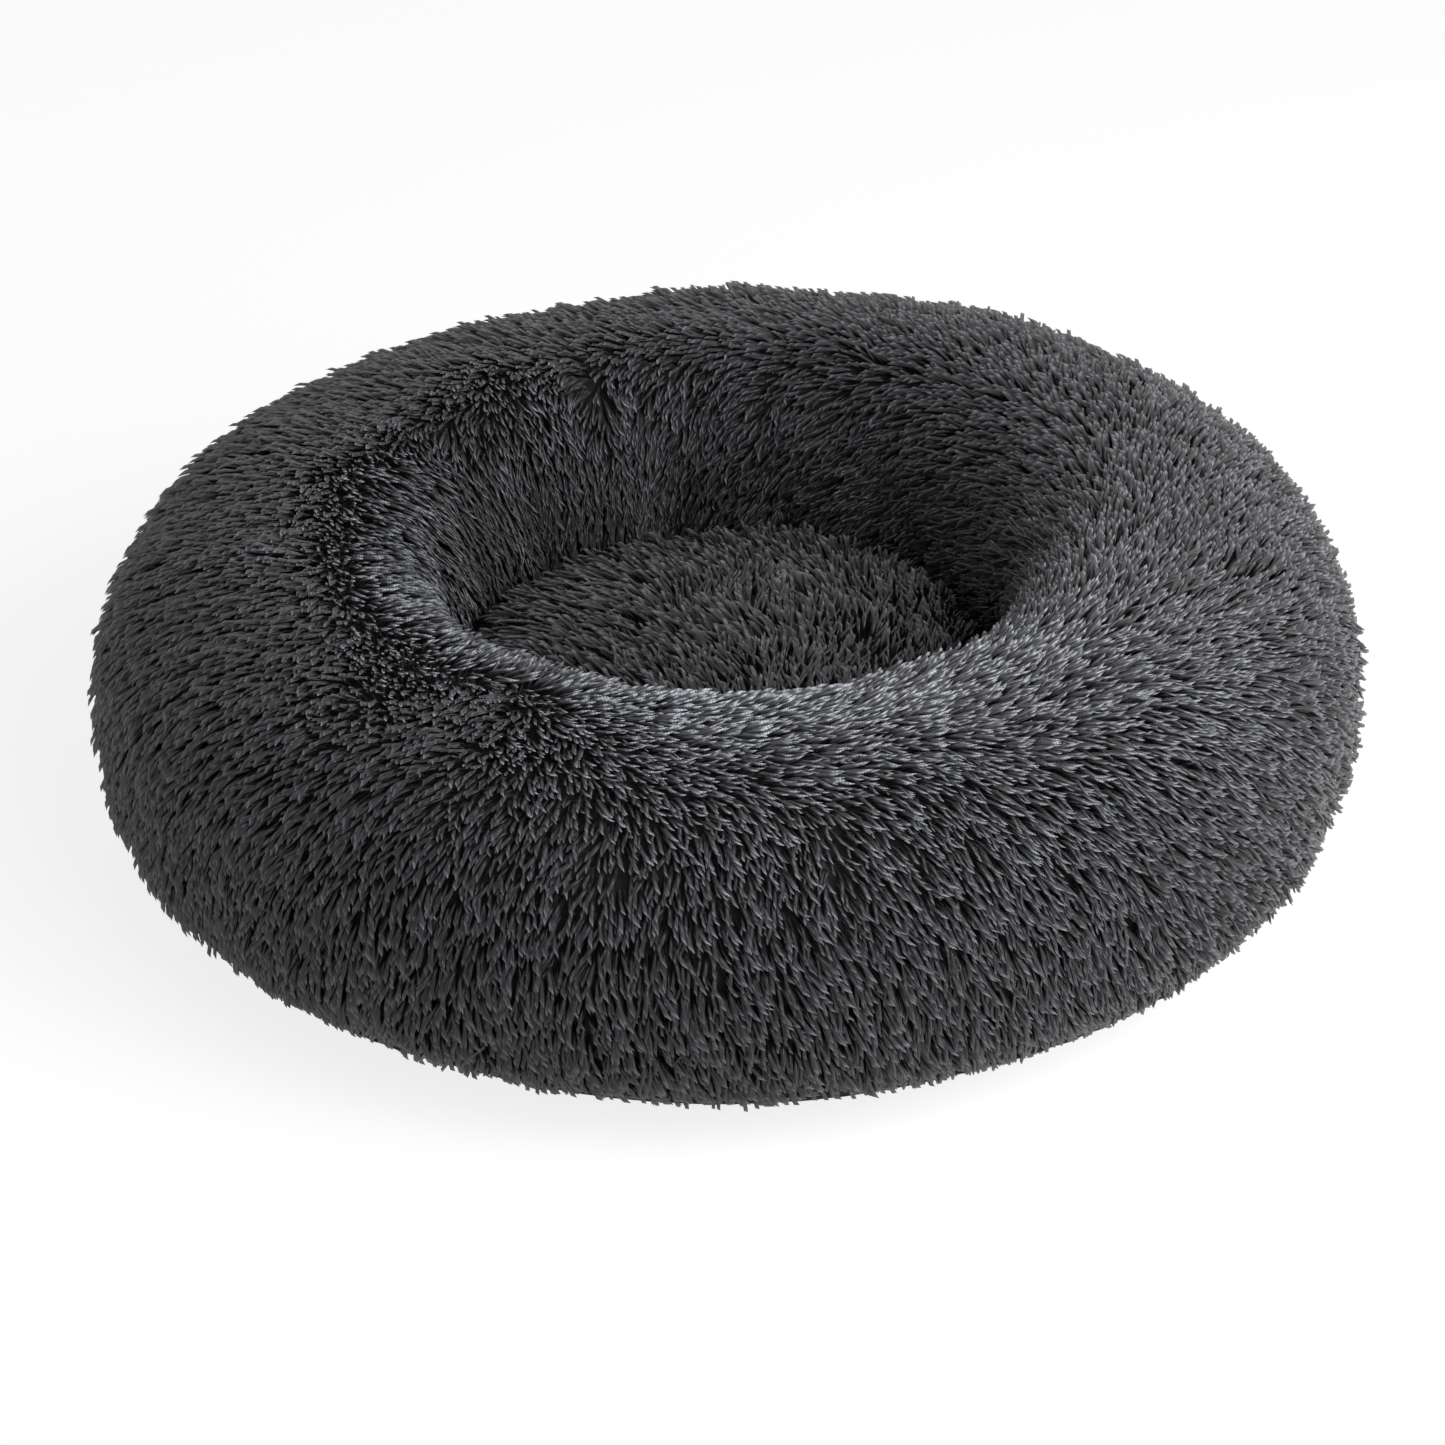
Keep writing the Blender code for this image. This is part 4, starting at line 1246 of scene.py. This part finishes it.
@dataclass
class LoosePad:
    """The loose pad in the well: a domed stuffed round, plush above and plain cloth below."""

    radius: float = 0.1255
    seam_radius: float = 0.1190
    seam_height: float = 0.0240
    seam_gap: float = 0.0009
    waist_height: float = 0.0560
    edge_height: float = 0.0960
    edge_share: float = 0.84
    crown: float = 0.0160
    roundness: float = 2.19
    side_roundness: float = 2.3
    ridge_height: float = 0.0080
    ridge_angle: float = 55.0
    hollow_depth: float = 0.0110
    hollow_radius: float = 0.0450
    hollow_offset: float = 0.0700
    hollow_angle: float = -12.0
    foot_radius: float = 0.1060
    rest_height: float = 0.0074
    cloth_thickness: float = 0.0016
    touch_gap: float = 0.0003
    binding_width: float = 0.0020
    binding_corner: float = 0.0006
    draw_in: float = 0.0048
    draw_up: float = 0.0100
    pucker: float = 0.0008
    pucker_count: int = 46
    pucker_swing: float = 2.5
    pucker_start: float = 0.018
    pucker_end: float = 0.0015
    sag_share: float = 0.9
    sag: Span = (0.05, 0.45)
    root_depth: float = 0.0035
    lump_height: float = 0.0020
    lumps: Layers = ((1.0, 0.055, 41),)
    cloth_wander: Layers = ((1.0, 0.030, 59),)
    centre: float = 0.0030
    around: int = 144
    rows: int = 56
    side_points: int = 40
    dome_points: int = 60
    foot_points: int = 24
    under_points: int = 56
    seeds: tuple[int, int] = (211, 223)
    pile: Pile = field(default_factory=lambda: Pile(
        spacing=0.0020, length=0.0185, width=0.00116, lean=0.66, unrest=0.42, lock=0.0070, gather=0.70,
        lowest=0.0080))
    growth: PadGrowth = field(default_factory=PadGrowth)
    filling: Filling = field(default_factory=lambda: Filling(pressure=3.0, most=0.0022))

    def outline(self) -> np.ndarray:
        """The plush skin as (radius, height) rows, from the seam over the side to the middle of the top."""
        share = np.linspace(0.0, 1.0, self.side_points)
        low = self.seam_height + self.seam_gap
        out = 1 - (1 - share) ** self.side_roundness
        side = np.stack([self.seam_radius + (self.radius - self.seam_radius) * out,
                         low + (self.waist_height - low) * share], 1)
        across, up = squared_quarter(share, self.roundness)
        shoulder = np.stack([self.radius * (self.edge_share + (1 - self.edge_share) * across),
                             self.waist_height + (self.edge_height - self.waist_height) * up], 1)
        inwards = np.linspace(self.edge_share, self.centre / self.radius, self.dome_points)
        dome = np.stack([self.radius * inwards,
                         self.edge_height + self.crown * (1 - (inwards / self.edge_share) ** 2)], 1)
        return soft_path(np.concatenate([side, shoulder[1:], dome[1:]]), self.rows, 6)

    def plump(self, points: np.ndarray) -> np.ndarray:
        """Give the top its ridge at the back, its hollow at the side and the lumps of its filling."""
        x, y, z = np.moveaxis(points, -1, 0)
        ridge_turn, hollow_turn = math.radians(self.ridge_angle), math.radians(self.hollow_angle)
        towards = (x * math.cos(ridge_turn) + y * math.sin(ridge_turn)) / self.radius
        away = np.hypot(x - self.hollow_offset * math.cos(hollow_turn),
                        y - self.hollow_offset * math.sin(hollow_turn))
        rise = self.ridge_height * np.maximum(towards, 0.0) ** 2
        rise = rise - self.hollow_depth * np.exp(-(away / self.hollow_radius) ** 2)
        rise = rise + self.lump_height * drift(points, self.lumps)[..., 2]
        return np.stack([x, y, z + rise * ease(z, self.waist_height, self.edge_height)], -1)

    def comb(self, points: np.ndarray) -> np.ndarray:
        """The way the pad's plush lies: to the left on its left side, turning to the back on its right."""
        g = self.growth
        x, _, z = np.moveaxis(points, -1, 0)
        swing = ease(x, *g.swing)[..., None]
        side = (1 - ease(z, self.waist_height, self.edge_height))[..., None]
        lie = np.array(g.left_lie) * (1 - swing) + np.array(g.right_lie) * swing
        return unit(lie * (1 - side) + np.array(g.side_lie) * side + drift(points, g.unrest))

    def build(self, grower: PileTree, finishes: Finishes) -> None:
        """Make the pad's body, its pile, its underside and its bound seam.

        Args:
            grower: Plants the pile.
            finishes: The pad's materials.
        """
        outline = self.outline()
        points = self.plump(turned(outline, self.around))
        normal = grid_directions(points)[0]
        points = self.filling.fold(points - normal * self.root_depth, normal)
        normal = grid_directions(points)[0]
        body = settle("pad_body", self._body(points), finishes.ground, "centre_cushion", "fur",
                      "cushion_cover_top", "cushion_filling")
        top = int(np.argmax(outline[:, 1] > self.edge_height - self.growth.top_below_edge))
        for name, part, seed in (("side", slice(0, top + 1), self.seeds[0]),
                                 ("top", slice(top, self.rows), self.seeds[1])):
            pile = grower.grow(points[part], normal[part], self.comb(points[part]),
                               self._growth(points[part], name == "top"), self.pile, seed, closed=True)
            settle(f"pad_pile_{name}", pile, None, "centre_cushion", "fur")
        settle("pad_underside", self._underside(), finishes.lining, "centre_cushion", "lining_cloth",
               "cushion_cover_base")
        settle("pad_binding", self._binding(), finishes.binding, "centre_cushion", "binding_cloth",
               "cushion_seam_binding")

    def _body(self, points: np.ndarray) -> bpy.types.Mesh:
        """The closed stuffed round under the pile."""
        floor = self.rest_height + self.cloth_thickness + self.touch_gap
        inside = self.cloth_thickness + 2 * self.touch_gap
        low = soft_path([(self.centre, floor), (self.foot_radius - inside, floor),
                         (self.seam_radius - self.root_depth - inside, self.seam_height - inside)],
                        self.foot_points, 3)
        return cloth_mesh(np.concatenate([turned(low, self.around), points]), wrap_rows=False)

    def _growth(self, points: np.ndarray, on_top: bool) -> dict[str, np.ndarray]:
        """How close, how long and how upright the pile grows, and the painted shade on it.

        Args:
            points: A stretch of the skin as rows by columns by three.
            on_top: Whether it is the pad's top, and not its side.

        Returns:
            Cover, long, stand and pale for each point; pale here is painted shade.
        """
        g = self.growth
        x, y, z = np.moveaxis(points, -1, 0)
        front_right = ease(x - g.front_slant * y, *g.front_right)
        rim = ease(np.hypot(x, y), g.rim_start, self.radius)
        high = ease(z, self.seam_height, self.waist_height - g.side_below_waist)
        long = 1.0 - g.rim_length * rim if on_top else g.seam_length + g.side_length * high
        stand = (g.top_stand + g.front_right_stand * front_right + drift(points, g.uneven)[..., 0]) * on_top
        stand = stand + g.rim_stand * rim * ease(z, self.waist_height + g.rim_above_waist,
                                                 self.edge_height - g.rim_below_edge)
        # pale: painted shade, over the whole pad, at its front right and in the crease at its rim.
        return {"cover": g.cover + g.rim_cover * rim, "long": long, "stand": stand,
                "pale": g.pale - g.front_right_shade * front_right - g.rim_shade * rim}

    def _underside(self) -> bpy.types.Mesh:
        """The plain cloth under the pad, drawn up and puckered at its seam."""
        outer = soft_path([(self.centre, self.rest_height), (self.foot_radius, self.rest_height),
                           (self.seam_radius - self.draw_in, self.seam_height - self.draw_up),
                           (self.seam_radius, self.seam_height)], self.under_points, 5)
        inner = inset(outer, self.cloth_thickness)
        inner[-1, 1] = outer[-1, 1]
        grid = turned(np.concatenate([outer, inner[::-1]]), 2 * self.around)
        turn = np.arctan2(grid[..., 1], grid[..., 0])
        reach = np.hypot(grid[..., 0], grid[..., 1])
        wander = drift(grid, self.cloth_wander)
        drawn = ease(reach, self.foot_radius - self.pucker_start, self.seam_radius) * (
            1 - ease(reach, self.seam_radius - self.pucker_end, self.seam_radius))
        fold = 0.5 + 0.5 * np.sin(self.pucker_count * turn + self.pucker_swing * wander[..., 1])
        sag = self.sag_share * ease(wander[..., 0], *self.sag) * (1 - drawn)
        grid[..., 2] += self.pucker * (fold * drawn + sag)
        return cloth_mesh(grid, wrap_rows=False, flat_map=True)

    def _binding(self) -> bpy.types.Mesh:
        """The bound seam round the pad."""
        inner, high = self.seam_radius + self.touch_gap, self.seam_height + self.touch_gap
        section = rounded_section(inner, inner + self.binding_width, high - self.binding_width, high,
                                  self.binding_corner, 4)
        return cloth_mesh(turned(section, 2 * self.around))


# What repeats on the base: dots and stitches

class GripTree(GrowingTree):
    """Prints a triangular lattice of non-slip dots."""

    def __init__(self, material: bpy.types.Material, sides: int = 12, foot_share: float = 0.80) -> None:
        """Build the tree.

        Args:
            material: Material of the dots.
            sides: Sides of a dot.
            foot_share: How wide a dot is at its foot, as a share of its top.
        """
        super().__init__("grip_dots", ("pitch", "reach", "dot_radius", "dot_height"), ["count"])
        wires, given = self.wires, self.given
        width = (given["count"] - 1.0) * given["pitch"]
        lattice = wires.out("GeometryNodeMeshGrid", {
            "Size X": width, "Size Y": width * (math.sqrt(3) / 2), "Vertices X": given["count"],
            "Vertices Y": given["count"]})
        row = wires.out("GeometryNodeInputIndex").done("FLOORED_MODULO", given["count"])
        shift = (row + 1.0).done("FLOORED_MODULO", 2.0) * 0.5 * given["pitch"]
        moved = wires.out("GeometryNodeSetPosition", {
            "Geometry": lattice, "Offset": wires.out("ShaderNodeCombineXYZ", {0: shift})})
        away = wires.out("GeometryNodeInputPosition").done("LENGTH")
        kept = wires.out("GeometryNodeDeleteGeometry", {
            "Geometry": moved, "Selection": away.done("GREATER_THAN", given["reach"])}, domain="POINT")
        dot = wires.out("GeometryNodeMeshCone", {
            "Vertices": sides, "Radius Top": given["dot_radius"],
            "Radius Bottom": given["dot_radius"] * foot_share, "Depth": given["dot_height"]})
        self._end(wires.out("GeometryNodeInstanceOnPoints", {"Points": kept, "Instance": dot}), material)


class StitchTree(GrowingTree):
    """Sews a row of stitches along each line of edges."""

    def __init__(self, material: bpy.types.Material) -> None:
        """Build the tree, with the thread's material."""
        super().__init__("stitches", ("pitch", "length", "thread"))
        wires, given = self.wires, self.given
        line = wires.out("GeometryNodeMeshToCurve", {"Mesh": given["Geometry"]})
        spaced = wires.out("GeometryNodeResampleCurve", {"Curve": line, "Length": given["pitch"]},
                           mode="LENGTH")
        turn = wires.out("FunctionNodeAlignRotationToVector", {
            "Vector": wires.out("GeometryNodeInputTangent")}, axis="X")
        bead = wires.out("GeometryNodeMeshUVSphere", {"Segments": 6, "Rings": 4, "Radius": 1.0})
        size = wires.out("ShaderNodeCombineXYZ", {
            0: given["length"] * 0.5, 1: given["thread"], 2: given["thread"]})
        self._end(wires.out("GeometryNodeInstanceOnPoints", {
            "Points": spaced, "Instance": bead, "Rotation": turn, "Scale": size}), material)

    def sew(self, lines: Sequence[np.ndarray], pitch: float = 0.0034, length: float = 0.0026,
            thread: float = 0.00028) -> bpy.types.Mesh:
        """Sew stitches along open lines of points.

        Args:
            lines: Each an array of points in a row.
            pitch: From one stitch to the next, in metres.
            length: Length of a stitch, in metres.
            thread: Radius of the thread, in metres.

        Returns:
            A plain mesh of the stitches.
        """
        points, edges = [], []
        for line in lines:
            first = len(points)
            points += [tuple(map(float, p)) for p in line]
            edges += [(k, k + 1) for k in range(first, len(points) - 1)]
        mesh = bpy.data.meshes.new("seams")
        mesh.from_pydata(points, edges, [])
        return self.run(mesh, {"pitch": pitch, "length": length, "thread": thread})


# The base and its zip

@dataclass(frozen=True)
class Slope:
    """The sloping band under the ring's hem: s runs up it from its foot, n points out of it."""

    foot_radius: float = 0.23750
    foot_height: float = 0.00510
    top_radius: float = 0.27948
    top_height: float = 0.03000

    @property
    def length(self) -> float:
        """Length of the slope from its foot to the hem."""
        return math.hypot(self.top_radius - self.foot_radius, self.top_height - self.foot_height)

    def place(self, s: np.ndarray | float, n: np.ndarray | float, turn: np.ndarray) -> np.ndarray:
        """Points at s and n on the slope, at turns in radians round the bed."""
        run = (self.top_radius - self.foot_radius) / self.length
        rise = (self.top_height - self.foot_height) / self.length
        radius = self.foot_radius + run * s + rise * n
        height = self.foot_height + rise * s - run * n
        return np.stack([radius * np.cos(turn), radius * np.sin(turn), height + 0.0 * turn], -1)

    def strip(self, section: np.ndarray, start: float, end: float, columns: int,
              relief: Callable[[np.ndarray, np.ndarray], np.ndarray] | None = None) -> bpy.types.Mesh:
        """A strip that lies in the slope.

        Args:
            section: Its closed section as (s, n) rows.
            start: Where it starts round the bed, in degrees.
            end: Where it ends, in degrees.
            columns: Points along it.
            relief: How far its surface is pushed out along n, from s and the turn.

        Returns:
            The closed mesh with its weave map.
        """
        turn = np.radians(np.linspace(start, end, columns))[None, :]
        s, n = section[:, :1], section[:, 1:]
        push = 0.0 if relief is None else relief(s, turn)
        return cloth_mesh(self.place(s + 0.0 * turn, n + push, turn + 0.0 * s), wrap_columns=False)


@dataclass
class Base:
    """What the bed stands on: a dotted panel with piping, the turned-up band, the lining, a bound seam."""

    slope: Slope = field(default_factory=Slope)
    panel_radius: float = 0.2385
    panel_bottom: float = 0.0012
    panel_thickness: float = 0.0036
    panel_ripple: float = 0.0004
    dot_radius: float = 0.0035
    dot_pitch: float = 0.0160
    dot_margin: float = 0.0070
    dot_count: int = 35
    piping_radius: float = 0.0013
    piping_twists: int = 90
    piping_relief: float = 0.04
    piping_sides: int = 14
    touch_gap: float = 0.0003
    band_thickness: float = 0.0024
    band_corner: float = 0.0008
    band_start: float = 138.82
    band_end: float = 401.18
    gathers: int = 118
    gather_depth: float = 0.0006
    gather_reach: float = 0.012
    gather_swings: tuple[Span, ...] = ((1.7, 23.0), (1.1, 7.0))
    band_columns: int = 520
    seam_columns: int = 500
    stitch_rows: Span = (0.0042, 0.0052)
    lining_radius: float = 0.2358
    lining_bottom: float = 0.0051
    lining_thickness: float = 0.0020
    lining_ripple: float = 0.0003
    ripples: Layers = ((1.0, 0.028, 61),)
    open_share: float = 0.3
    hub: float = 0.002
    disc_points: int = 160
    seam_radius: float = 0.1364
    seam_width: float = 0.0020
    seam_corner: float = 0.0006
    around: int = 240

    def build(self, finishes: Finishes, grips: GripTree, stitches: StitchTree) -> None:
        """Make each piece of the base.

        Args:
            finishes: The cloths' materials.
            grips: Prints the dots.
            stitches: Sews the rows of stitches.
        """
        panel = self._disc(self.panel_radius, self.panel_bottom, self.panel_thickness, self.panel_ripple, -1)
        dots = grips.run(bpy.data.meshes.new("dots"), {
            "pitch": self.dot_pitch, "reach": self.panel_radius - self.dot_margin - self.dot_radius,
            "dot_radius": self.dot_radius, "dot_height": self.panel_bottom + self.panel_thickness / 4,
            "count": self.dot_count})
        lining = self._disc(self.lining_radius, self.lining_bottom, self.lining_thickness,
                            self.lining_ripple, 1)
        for name, mesh, material, slot, *node in (
                ("base_cloth", panel, finishes.base, "base_cloth", "base_panel"),
                ("base_dots", dots, None, "base_cloth"),
                ("base_cord", self._piping(), finishes.base, "base_cloth", "base_piping"),
                ("base_turn_up", self._band(), finishes.base, "base_cloth", "base_band"),
                ("band_stitches", self._band_stitches(stitches), None, "base_cloth"),
                ("well_lining", lining, finishes.lining, "lining_cloth", "floor_lining"),
                ("well_binding", self._seam(), finishes.binding, "binding_cloth", "well_seam_binding")):
            settle(name, mesh, material, "bed", slot, *node)

    def _disc(self, radius: float, bottom: float, thickness: float, ripple: float,
              side: int) -> bpy.types.Mesh:
        """A disc of cloth with a rounded edge.

        Args:
            radius: Its radius.
            bottom: Height of its under face.
            thickness: Its thickness.
            ripple: How deep its open face is rippled inwards.
            side: 1 where its upper face is the open one, -1 where it is the lower one.

        Returns:
            The closed mesh.
        """
        top = bottom + thickness
        path = soft_path([(self.hub, top), (radius, top), (radius, bottom), (self.hub, bottom)],
                         self.disc_points, 2)
        grid = turned(path, self.around)
        wave = ease(drift(grid * (1.0, 1.0, 0.0), self.ripples)[..., 0], 0.0, 0.5)
        height = grid[..., 2]
        open_face = (height > bottom + (1 - self.open_share) * thickness if side > 0
                     else height < bottom + self.open_share * thickness)
        grid[..., 2] -= side * ripple * wave * open_face
        return cloth_mesh(grid, wrap_rows=False, flat_map=True)

    def _piping(self) -> bpy.types.Mesh:
        """The corded edge, its cover twisted a little round the cord."""
        middle = self.panel_radius + self.touch_gap + self.piping_radius
        height = self.panel_bottom + self.panel_thickness / 2
        turn = np.linspace(0.0, math.tau, 3 * self.around, endpoint=False)[None, :]
        around = np.linspace(0.0, math.tau, self.piping_sides, endpoint=False)[:, None]
        twist = np.sin(2 * around + self.piping_twists * turn)
        thick = self.piping_radius * (1.0 - self.piping_relief + self.piping_relief * twist)
        radius = middle + thick * np.cos(around)
        return cloth_mesh(np.stack([radius * np.cos(turn), radius * np.sin(turn),
                                    height + thick * np.sin(around)], -1))

    def _band(self) -> bpy.types.Mesh:
        """The turned-up strip of base cloth, gathered where it is sewn to the panel and to the hem."""
        high = self.slope.length - 3 * self.touch_gap
        section = rounded_section(self.touch_gap, high, -self.band_thickness, 0.0, self.band_corner, 18)

        def gathered(s: np.ndarray, turn: np.ndarray) -> np.ndarray:
            """Folds that are deepest at the two seams."""
            sewn = np.exp(-(s / self.gather_reach) ** 2) + np.exp(-((high - s) / self.gather_reach) ** 2)
            swing = self.gathers * turn
            for strength, waves in self.gather_swings:
                swing = swing + strength * np.sin(waves * turn)
            fold = 0.5 - 0.5 * np.sin(swing)
            return -self.gather_depth * sewn * fold

        return self.slope.strip(section, self.band_start, self.band_end, self.band_columns, gathered)

    def _band_stitches(self, stitches: StitchTree) -> bpy.types.Mesh:
        """The rows of stitches along the band's two edges."""
        turn = np.radians(np.linspace(self.band_start, self.band_end, self.seam_columns))
        low, below_top = self.stitch_rows
        return stitches.sew([self.slope.place(s, 0.0, turn) for s in (low, self.slope.length - below_top)])

    def _seam(self) -> bpy.types.Mesh:
        """The bound seam where the ring's inner wall stands on the lining."""
        low = self.lining_bottom + self.lining_thickness + self.touch_gap
        section = rounded_section(self.seam_radius - self.seam_width, self.seam_radius, low,
                                  low + self.seam_width, self.seam_corner, 4)
        return cloth_mesh(turned(section, self.around))


@dataclass
class Zip:
    """The zip at the back: woven tapes, end tabs and stitches, and the CAD's hardware in better dress."""

    slope: Slope = field(default_factory=Slope)
    start: float = 41.25
    end: float = 138.75
    tape_thickness: float = 0.0010
    tape_gap: float = 0.0050
    touch_gap: float = 0.0003
    tab_margin: float = 0.0050
    tab_low: float = 0.0010
    tab_thickness: float = 0.0010
    tab_outside: float = 2.234
    tab_inside: float = 0.869
    corner: float = 0.0004
    foot_rows: Span = (0.0042, 0.0066)
    hem_rows: Span = (0.0076, 0.0052)
    box_margin: float = 0.002
    box_turn: float = 0.008
    stitch_pitch: float = 0.0028
    stitch_length: float = 0.0021
    tape_columns: int = 260
    tab_columns: int = 28
    row_points: int = 240
    box_points: tuple[int, int] = (12, 24)
    metal_nodes: tuple[str, ...] = ("zip_slider", "zip_pull", "zip_stop_closed", "zip_stop_open")
    tooth_nodes: tuple[str, ...] = ("zip_teeth_upper", "zip_teeth_lower")

    def build(self, finishes: Finishes, stitches: StitchTree) -> None:
        """Make the tapes, tabs and stitches, and dress the teeth, stops, slider and pull.

        Args:
            finishes: The zip's materials.
            stitches: Sews the rows of stitches.
        """
        middle, high = self.slope.length / 2, self.slope.length - 3 * self.touch_gap
        for word, low, top in (("lower", self.touch_gap, middle - self.tape_gap / 2),
                               ("upper", middle + self.tape_gap / 2, high)):
            section = rounded_section(low, top, -self.tape_thickness, 0.0, self.corner, 10)
            tape = self.slope.strip(section, self.start, self.end, self.tape_columns)
            settle(f"tape_{word}", tape, finishes.tape, "bed", "tape_cloth", f"zip_tape_{word}")
        section = rounded_section(self.tab_margin, self.slope.length - self.tab_margin,
                                  self.tab_low, self.tab_low + self.tab_thickness, self.corner, 14)
        for word, span in zip(("closed", "open"), self._tab_spans()):
            tab = self.slope.strip(section, *span, self.tab_columns)
            settle(f"tab_{word}", tab, finishes.tape, "bed", "tape_cloth", f"zip_end_tab_{word}")
        settle("zip_stitches", self._stitches(stitches), None, "bed", "tape_cloth")
        for nodes, material in ((self.metal_nodes, finishes.metal), (self.tooth_nodes, finishes.plastic)):
            for node in nodes:
                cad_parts[node].material_slots[0].material = material

    def _tab_spans(self) -> tuple[Span, Span]:
        """Where the closed end's tab and the open end's start and end round the bed, in degrees."""
        return ((self.start - self.tab_outside, self.start + self.tab_inside),
                (self.end - self.tab_inside, self.end + self.tab_outside))

    def _stitches(self, stitches: StitchTree) -> bpy.types.Mesh:
        """Two rows along each tape and a box on each tab."""
        turn = np.radians(np.linspace(self.start, self.end, self.row_points))
        length, level = self.slope.length, self.tab_low + self.tab_thickness
        rows = [*self.foot_rows, *(length - below for below in self.hem_rows)]
        lines = [self.slope.place(s, 0.0, turn) for s in rows]
        wide, high = self.box_points
        inside = self.tab_margin + self.box_margin
        up = np.linspace(inside, length - inside, high)
        for span in self._tab_spans():
            first, last = (math.radians(angle) for angle in span)
            across = np.linspace(first + self.box_turn, last - self.box_turn, wide)
            lines += [self.slope.place(s, level, across) for s in (up[0], up[-1])]
            lines += [self.slope.place(up, level, np.full(high, at)) for at in (across[0], across[-1])]
        return stitches.sew(lines, pitch=self.stitch_pitch, length=self.stitch_length)


# The studio

@dataclass(frozen=True)
class Softbox:
    """A square lamp: its name, place, width in metres and power in watts."""

    name: str
    place: tuple[float, float, float]
    size: float
    power: float


@dataclass
class Studio:
    """A pale floor, a pale world, soft lamps and the camera at the photo's angle."""

    centre: tuple[float, float, float] = (0.0, 0.0, 0.0885)
    distance: float = 2.40
    elevation: float = 29.0
    focal_length: float = 126.2
    sensor_width: float = 36.0
    aim_right: float = -0.0021
    aim_down: float = 0.0259
    roll: float = -0.5
    floor_size: float = 12.0
    floor_grey: float = 0.34
    floor_roughness: float = 0.9
    floor_glow: float = 0.82
    world_light: float = 0.235
    lamps: tuple[Softbox, ...] = (Softbox("key_softbox", (1.52, -0.80, 1.24), 1.2, 23.0),
                                  Softbox("front_softbox", (0.86, -1.49, 1.29), 1.2, 14.5))

    def build(self) -> None:
        """Make the floor, the world, the lamps and the camera."""
        self._floor()
        self._world()
        for lamp in self.lamps:
            self._lamp(lamp)
        self._camera()

    def _floor(self) -> None:
        """A wide floor that the camera sees as nearly white and that keeps the bed's shadow."""
        half = self.floor_size / 2
        corners = [(-half, -half, 0.0), (half, -half, 0.0), (half, half, 0.0), (-half, half, 0.0)]
        mesh = mesh_from(corners, [(0, 1, 2, 3)], False)
        made, wires, shader = new_material("pale_floor")
        wires.join(shader, {"Base Color": (self.floor_grey, self.floor_grey, self.floor_grey, 1.0),
                            "Roughness": self.floor_roughness, "Specular IOR Level": 0.0})
        glow = wires.out("ShaderNodeEmission", {"Color": (1.0, 1.0, 1.0, 1.0),
                                                "Strength": wires.seen() * self.floor_glow})
        both = wires.out("ShaderNodeAddShader", {0: Wire(wires, shader.outputs[0]), 1: glow})
        wires.join(made.node_tree.nodes["Material Output"], {"Surface": both})
        mesh.materials.append(made)
        link("studio_floor", mesh)

    def _world(self) -> None:
        """White where the camera looks past the floor, dimmer as a light."""
        world = bpy.data.worlds.new("pale_studio")
        bpy.context.scene.world = world
        world.use_nodes = True
        wires = Wiring(world.node_tree)
        strength = wires.seen().spread(0.0, 1.0, self.world_light, 1.0)
        wires.join(world.node_tree.nodes["Background"], {"Color": (1.0, 1.0, 1.0, 1.0), "Strength": strength})

    def _lamp(self, softbox: Softbox) -> None:
        """Put up a softbox and aim it at the bed."""
        data = bpy.data.lights.new(softbox.name, "AREA")
        data.shape = "SQUARE"
        data.size = softbox.size
        data.energy = softbox.power
        lamp = bpy.data.objects.new(softbox.name, data)
        lamp.location = softbox.place
        aim = Vector(self.centre) - Vector(softbox.place)
        lamp.rotation_euler = aim.to_track_quat("-Z", "Y").to_euler()
        bpy.context.scene.collection.objects.link(lamp)

    def _camera(self) -> None:
        """A long lens above the front of the bed."""
        turn = math.radians(self.elevation)
        back = Vector((0.0, -math.cos(turn), math.sin(turn)))
        data = bpy.data.cameras.new("photo_camera")
        data.lens = self.focal_length
        data.sensor_width = self.sensor_width
        camera = bpy.data.objects.new("photo_camera", data)
        camera.location = Vector(self.centre) + back * self.distance
        right = Vector((1.0, 0.0, 0.0))
        over = right.cross(-back)
        target = Vector(self.centre) + right * self.aim_right - over * self.aim_down
        aimed = (target - camera.location).to_track_quat("-Z", "Y")
        camera.rotation_euler = (aimed @ Quaternion((0.0, 0.0, 1.0), math.radians(self.roll))).to_euler()
        bpy.context.scene.collection.objects.link(camera)
        bpy.context.scene.camera = camera


def main() -> None:
    """Build the bed's pieces in order, and then the studio."""
    noise.seed_set(NOISE_SEED)
    logging.basicConfig(level=logging.INFO, format="%(name)s %(message)s")
    bpy.context.scene.view_settings.view_transform = "Standard"
    finishes = Finishes()
    grower = PileTree(finishes.plush, finishes.pile)
    stitches = StitchTree(finishes.thread)
    StuffedRing().build(grower, finishes.ground)
    LoosePad().build(grower, finishes)
    Base().build(finishes, GripTree(finishes.rubber), stitches)
    Zip().build(finishes, stitches)
    Studio().build()


if __name__ == "__main__":
    main()
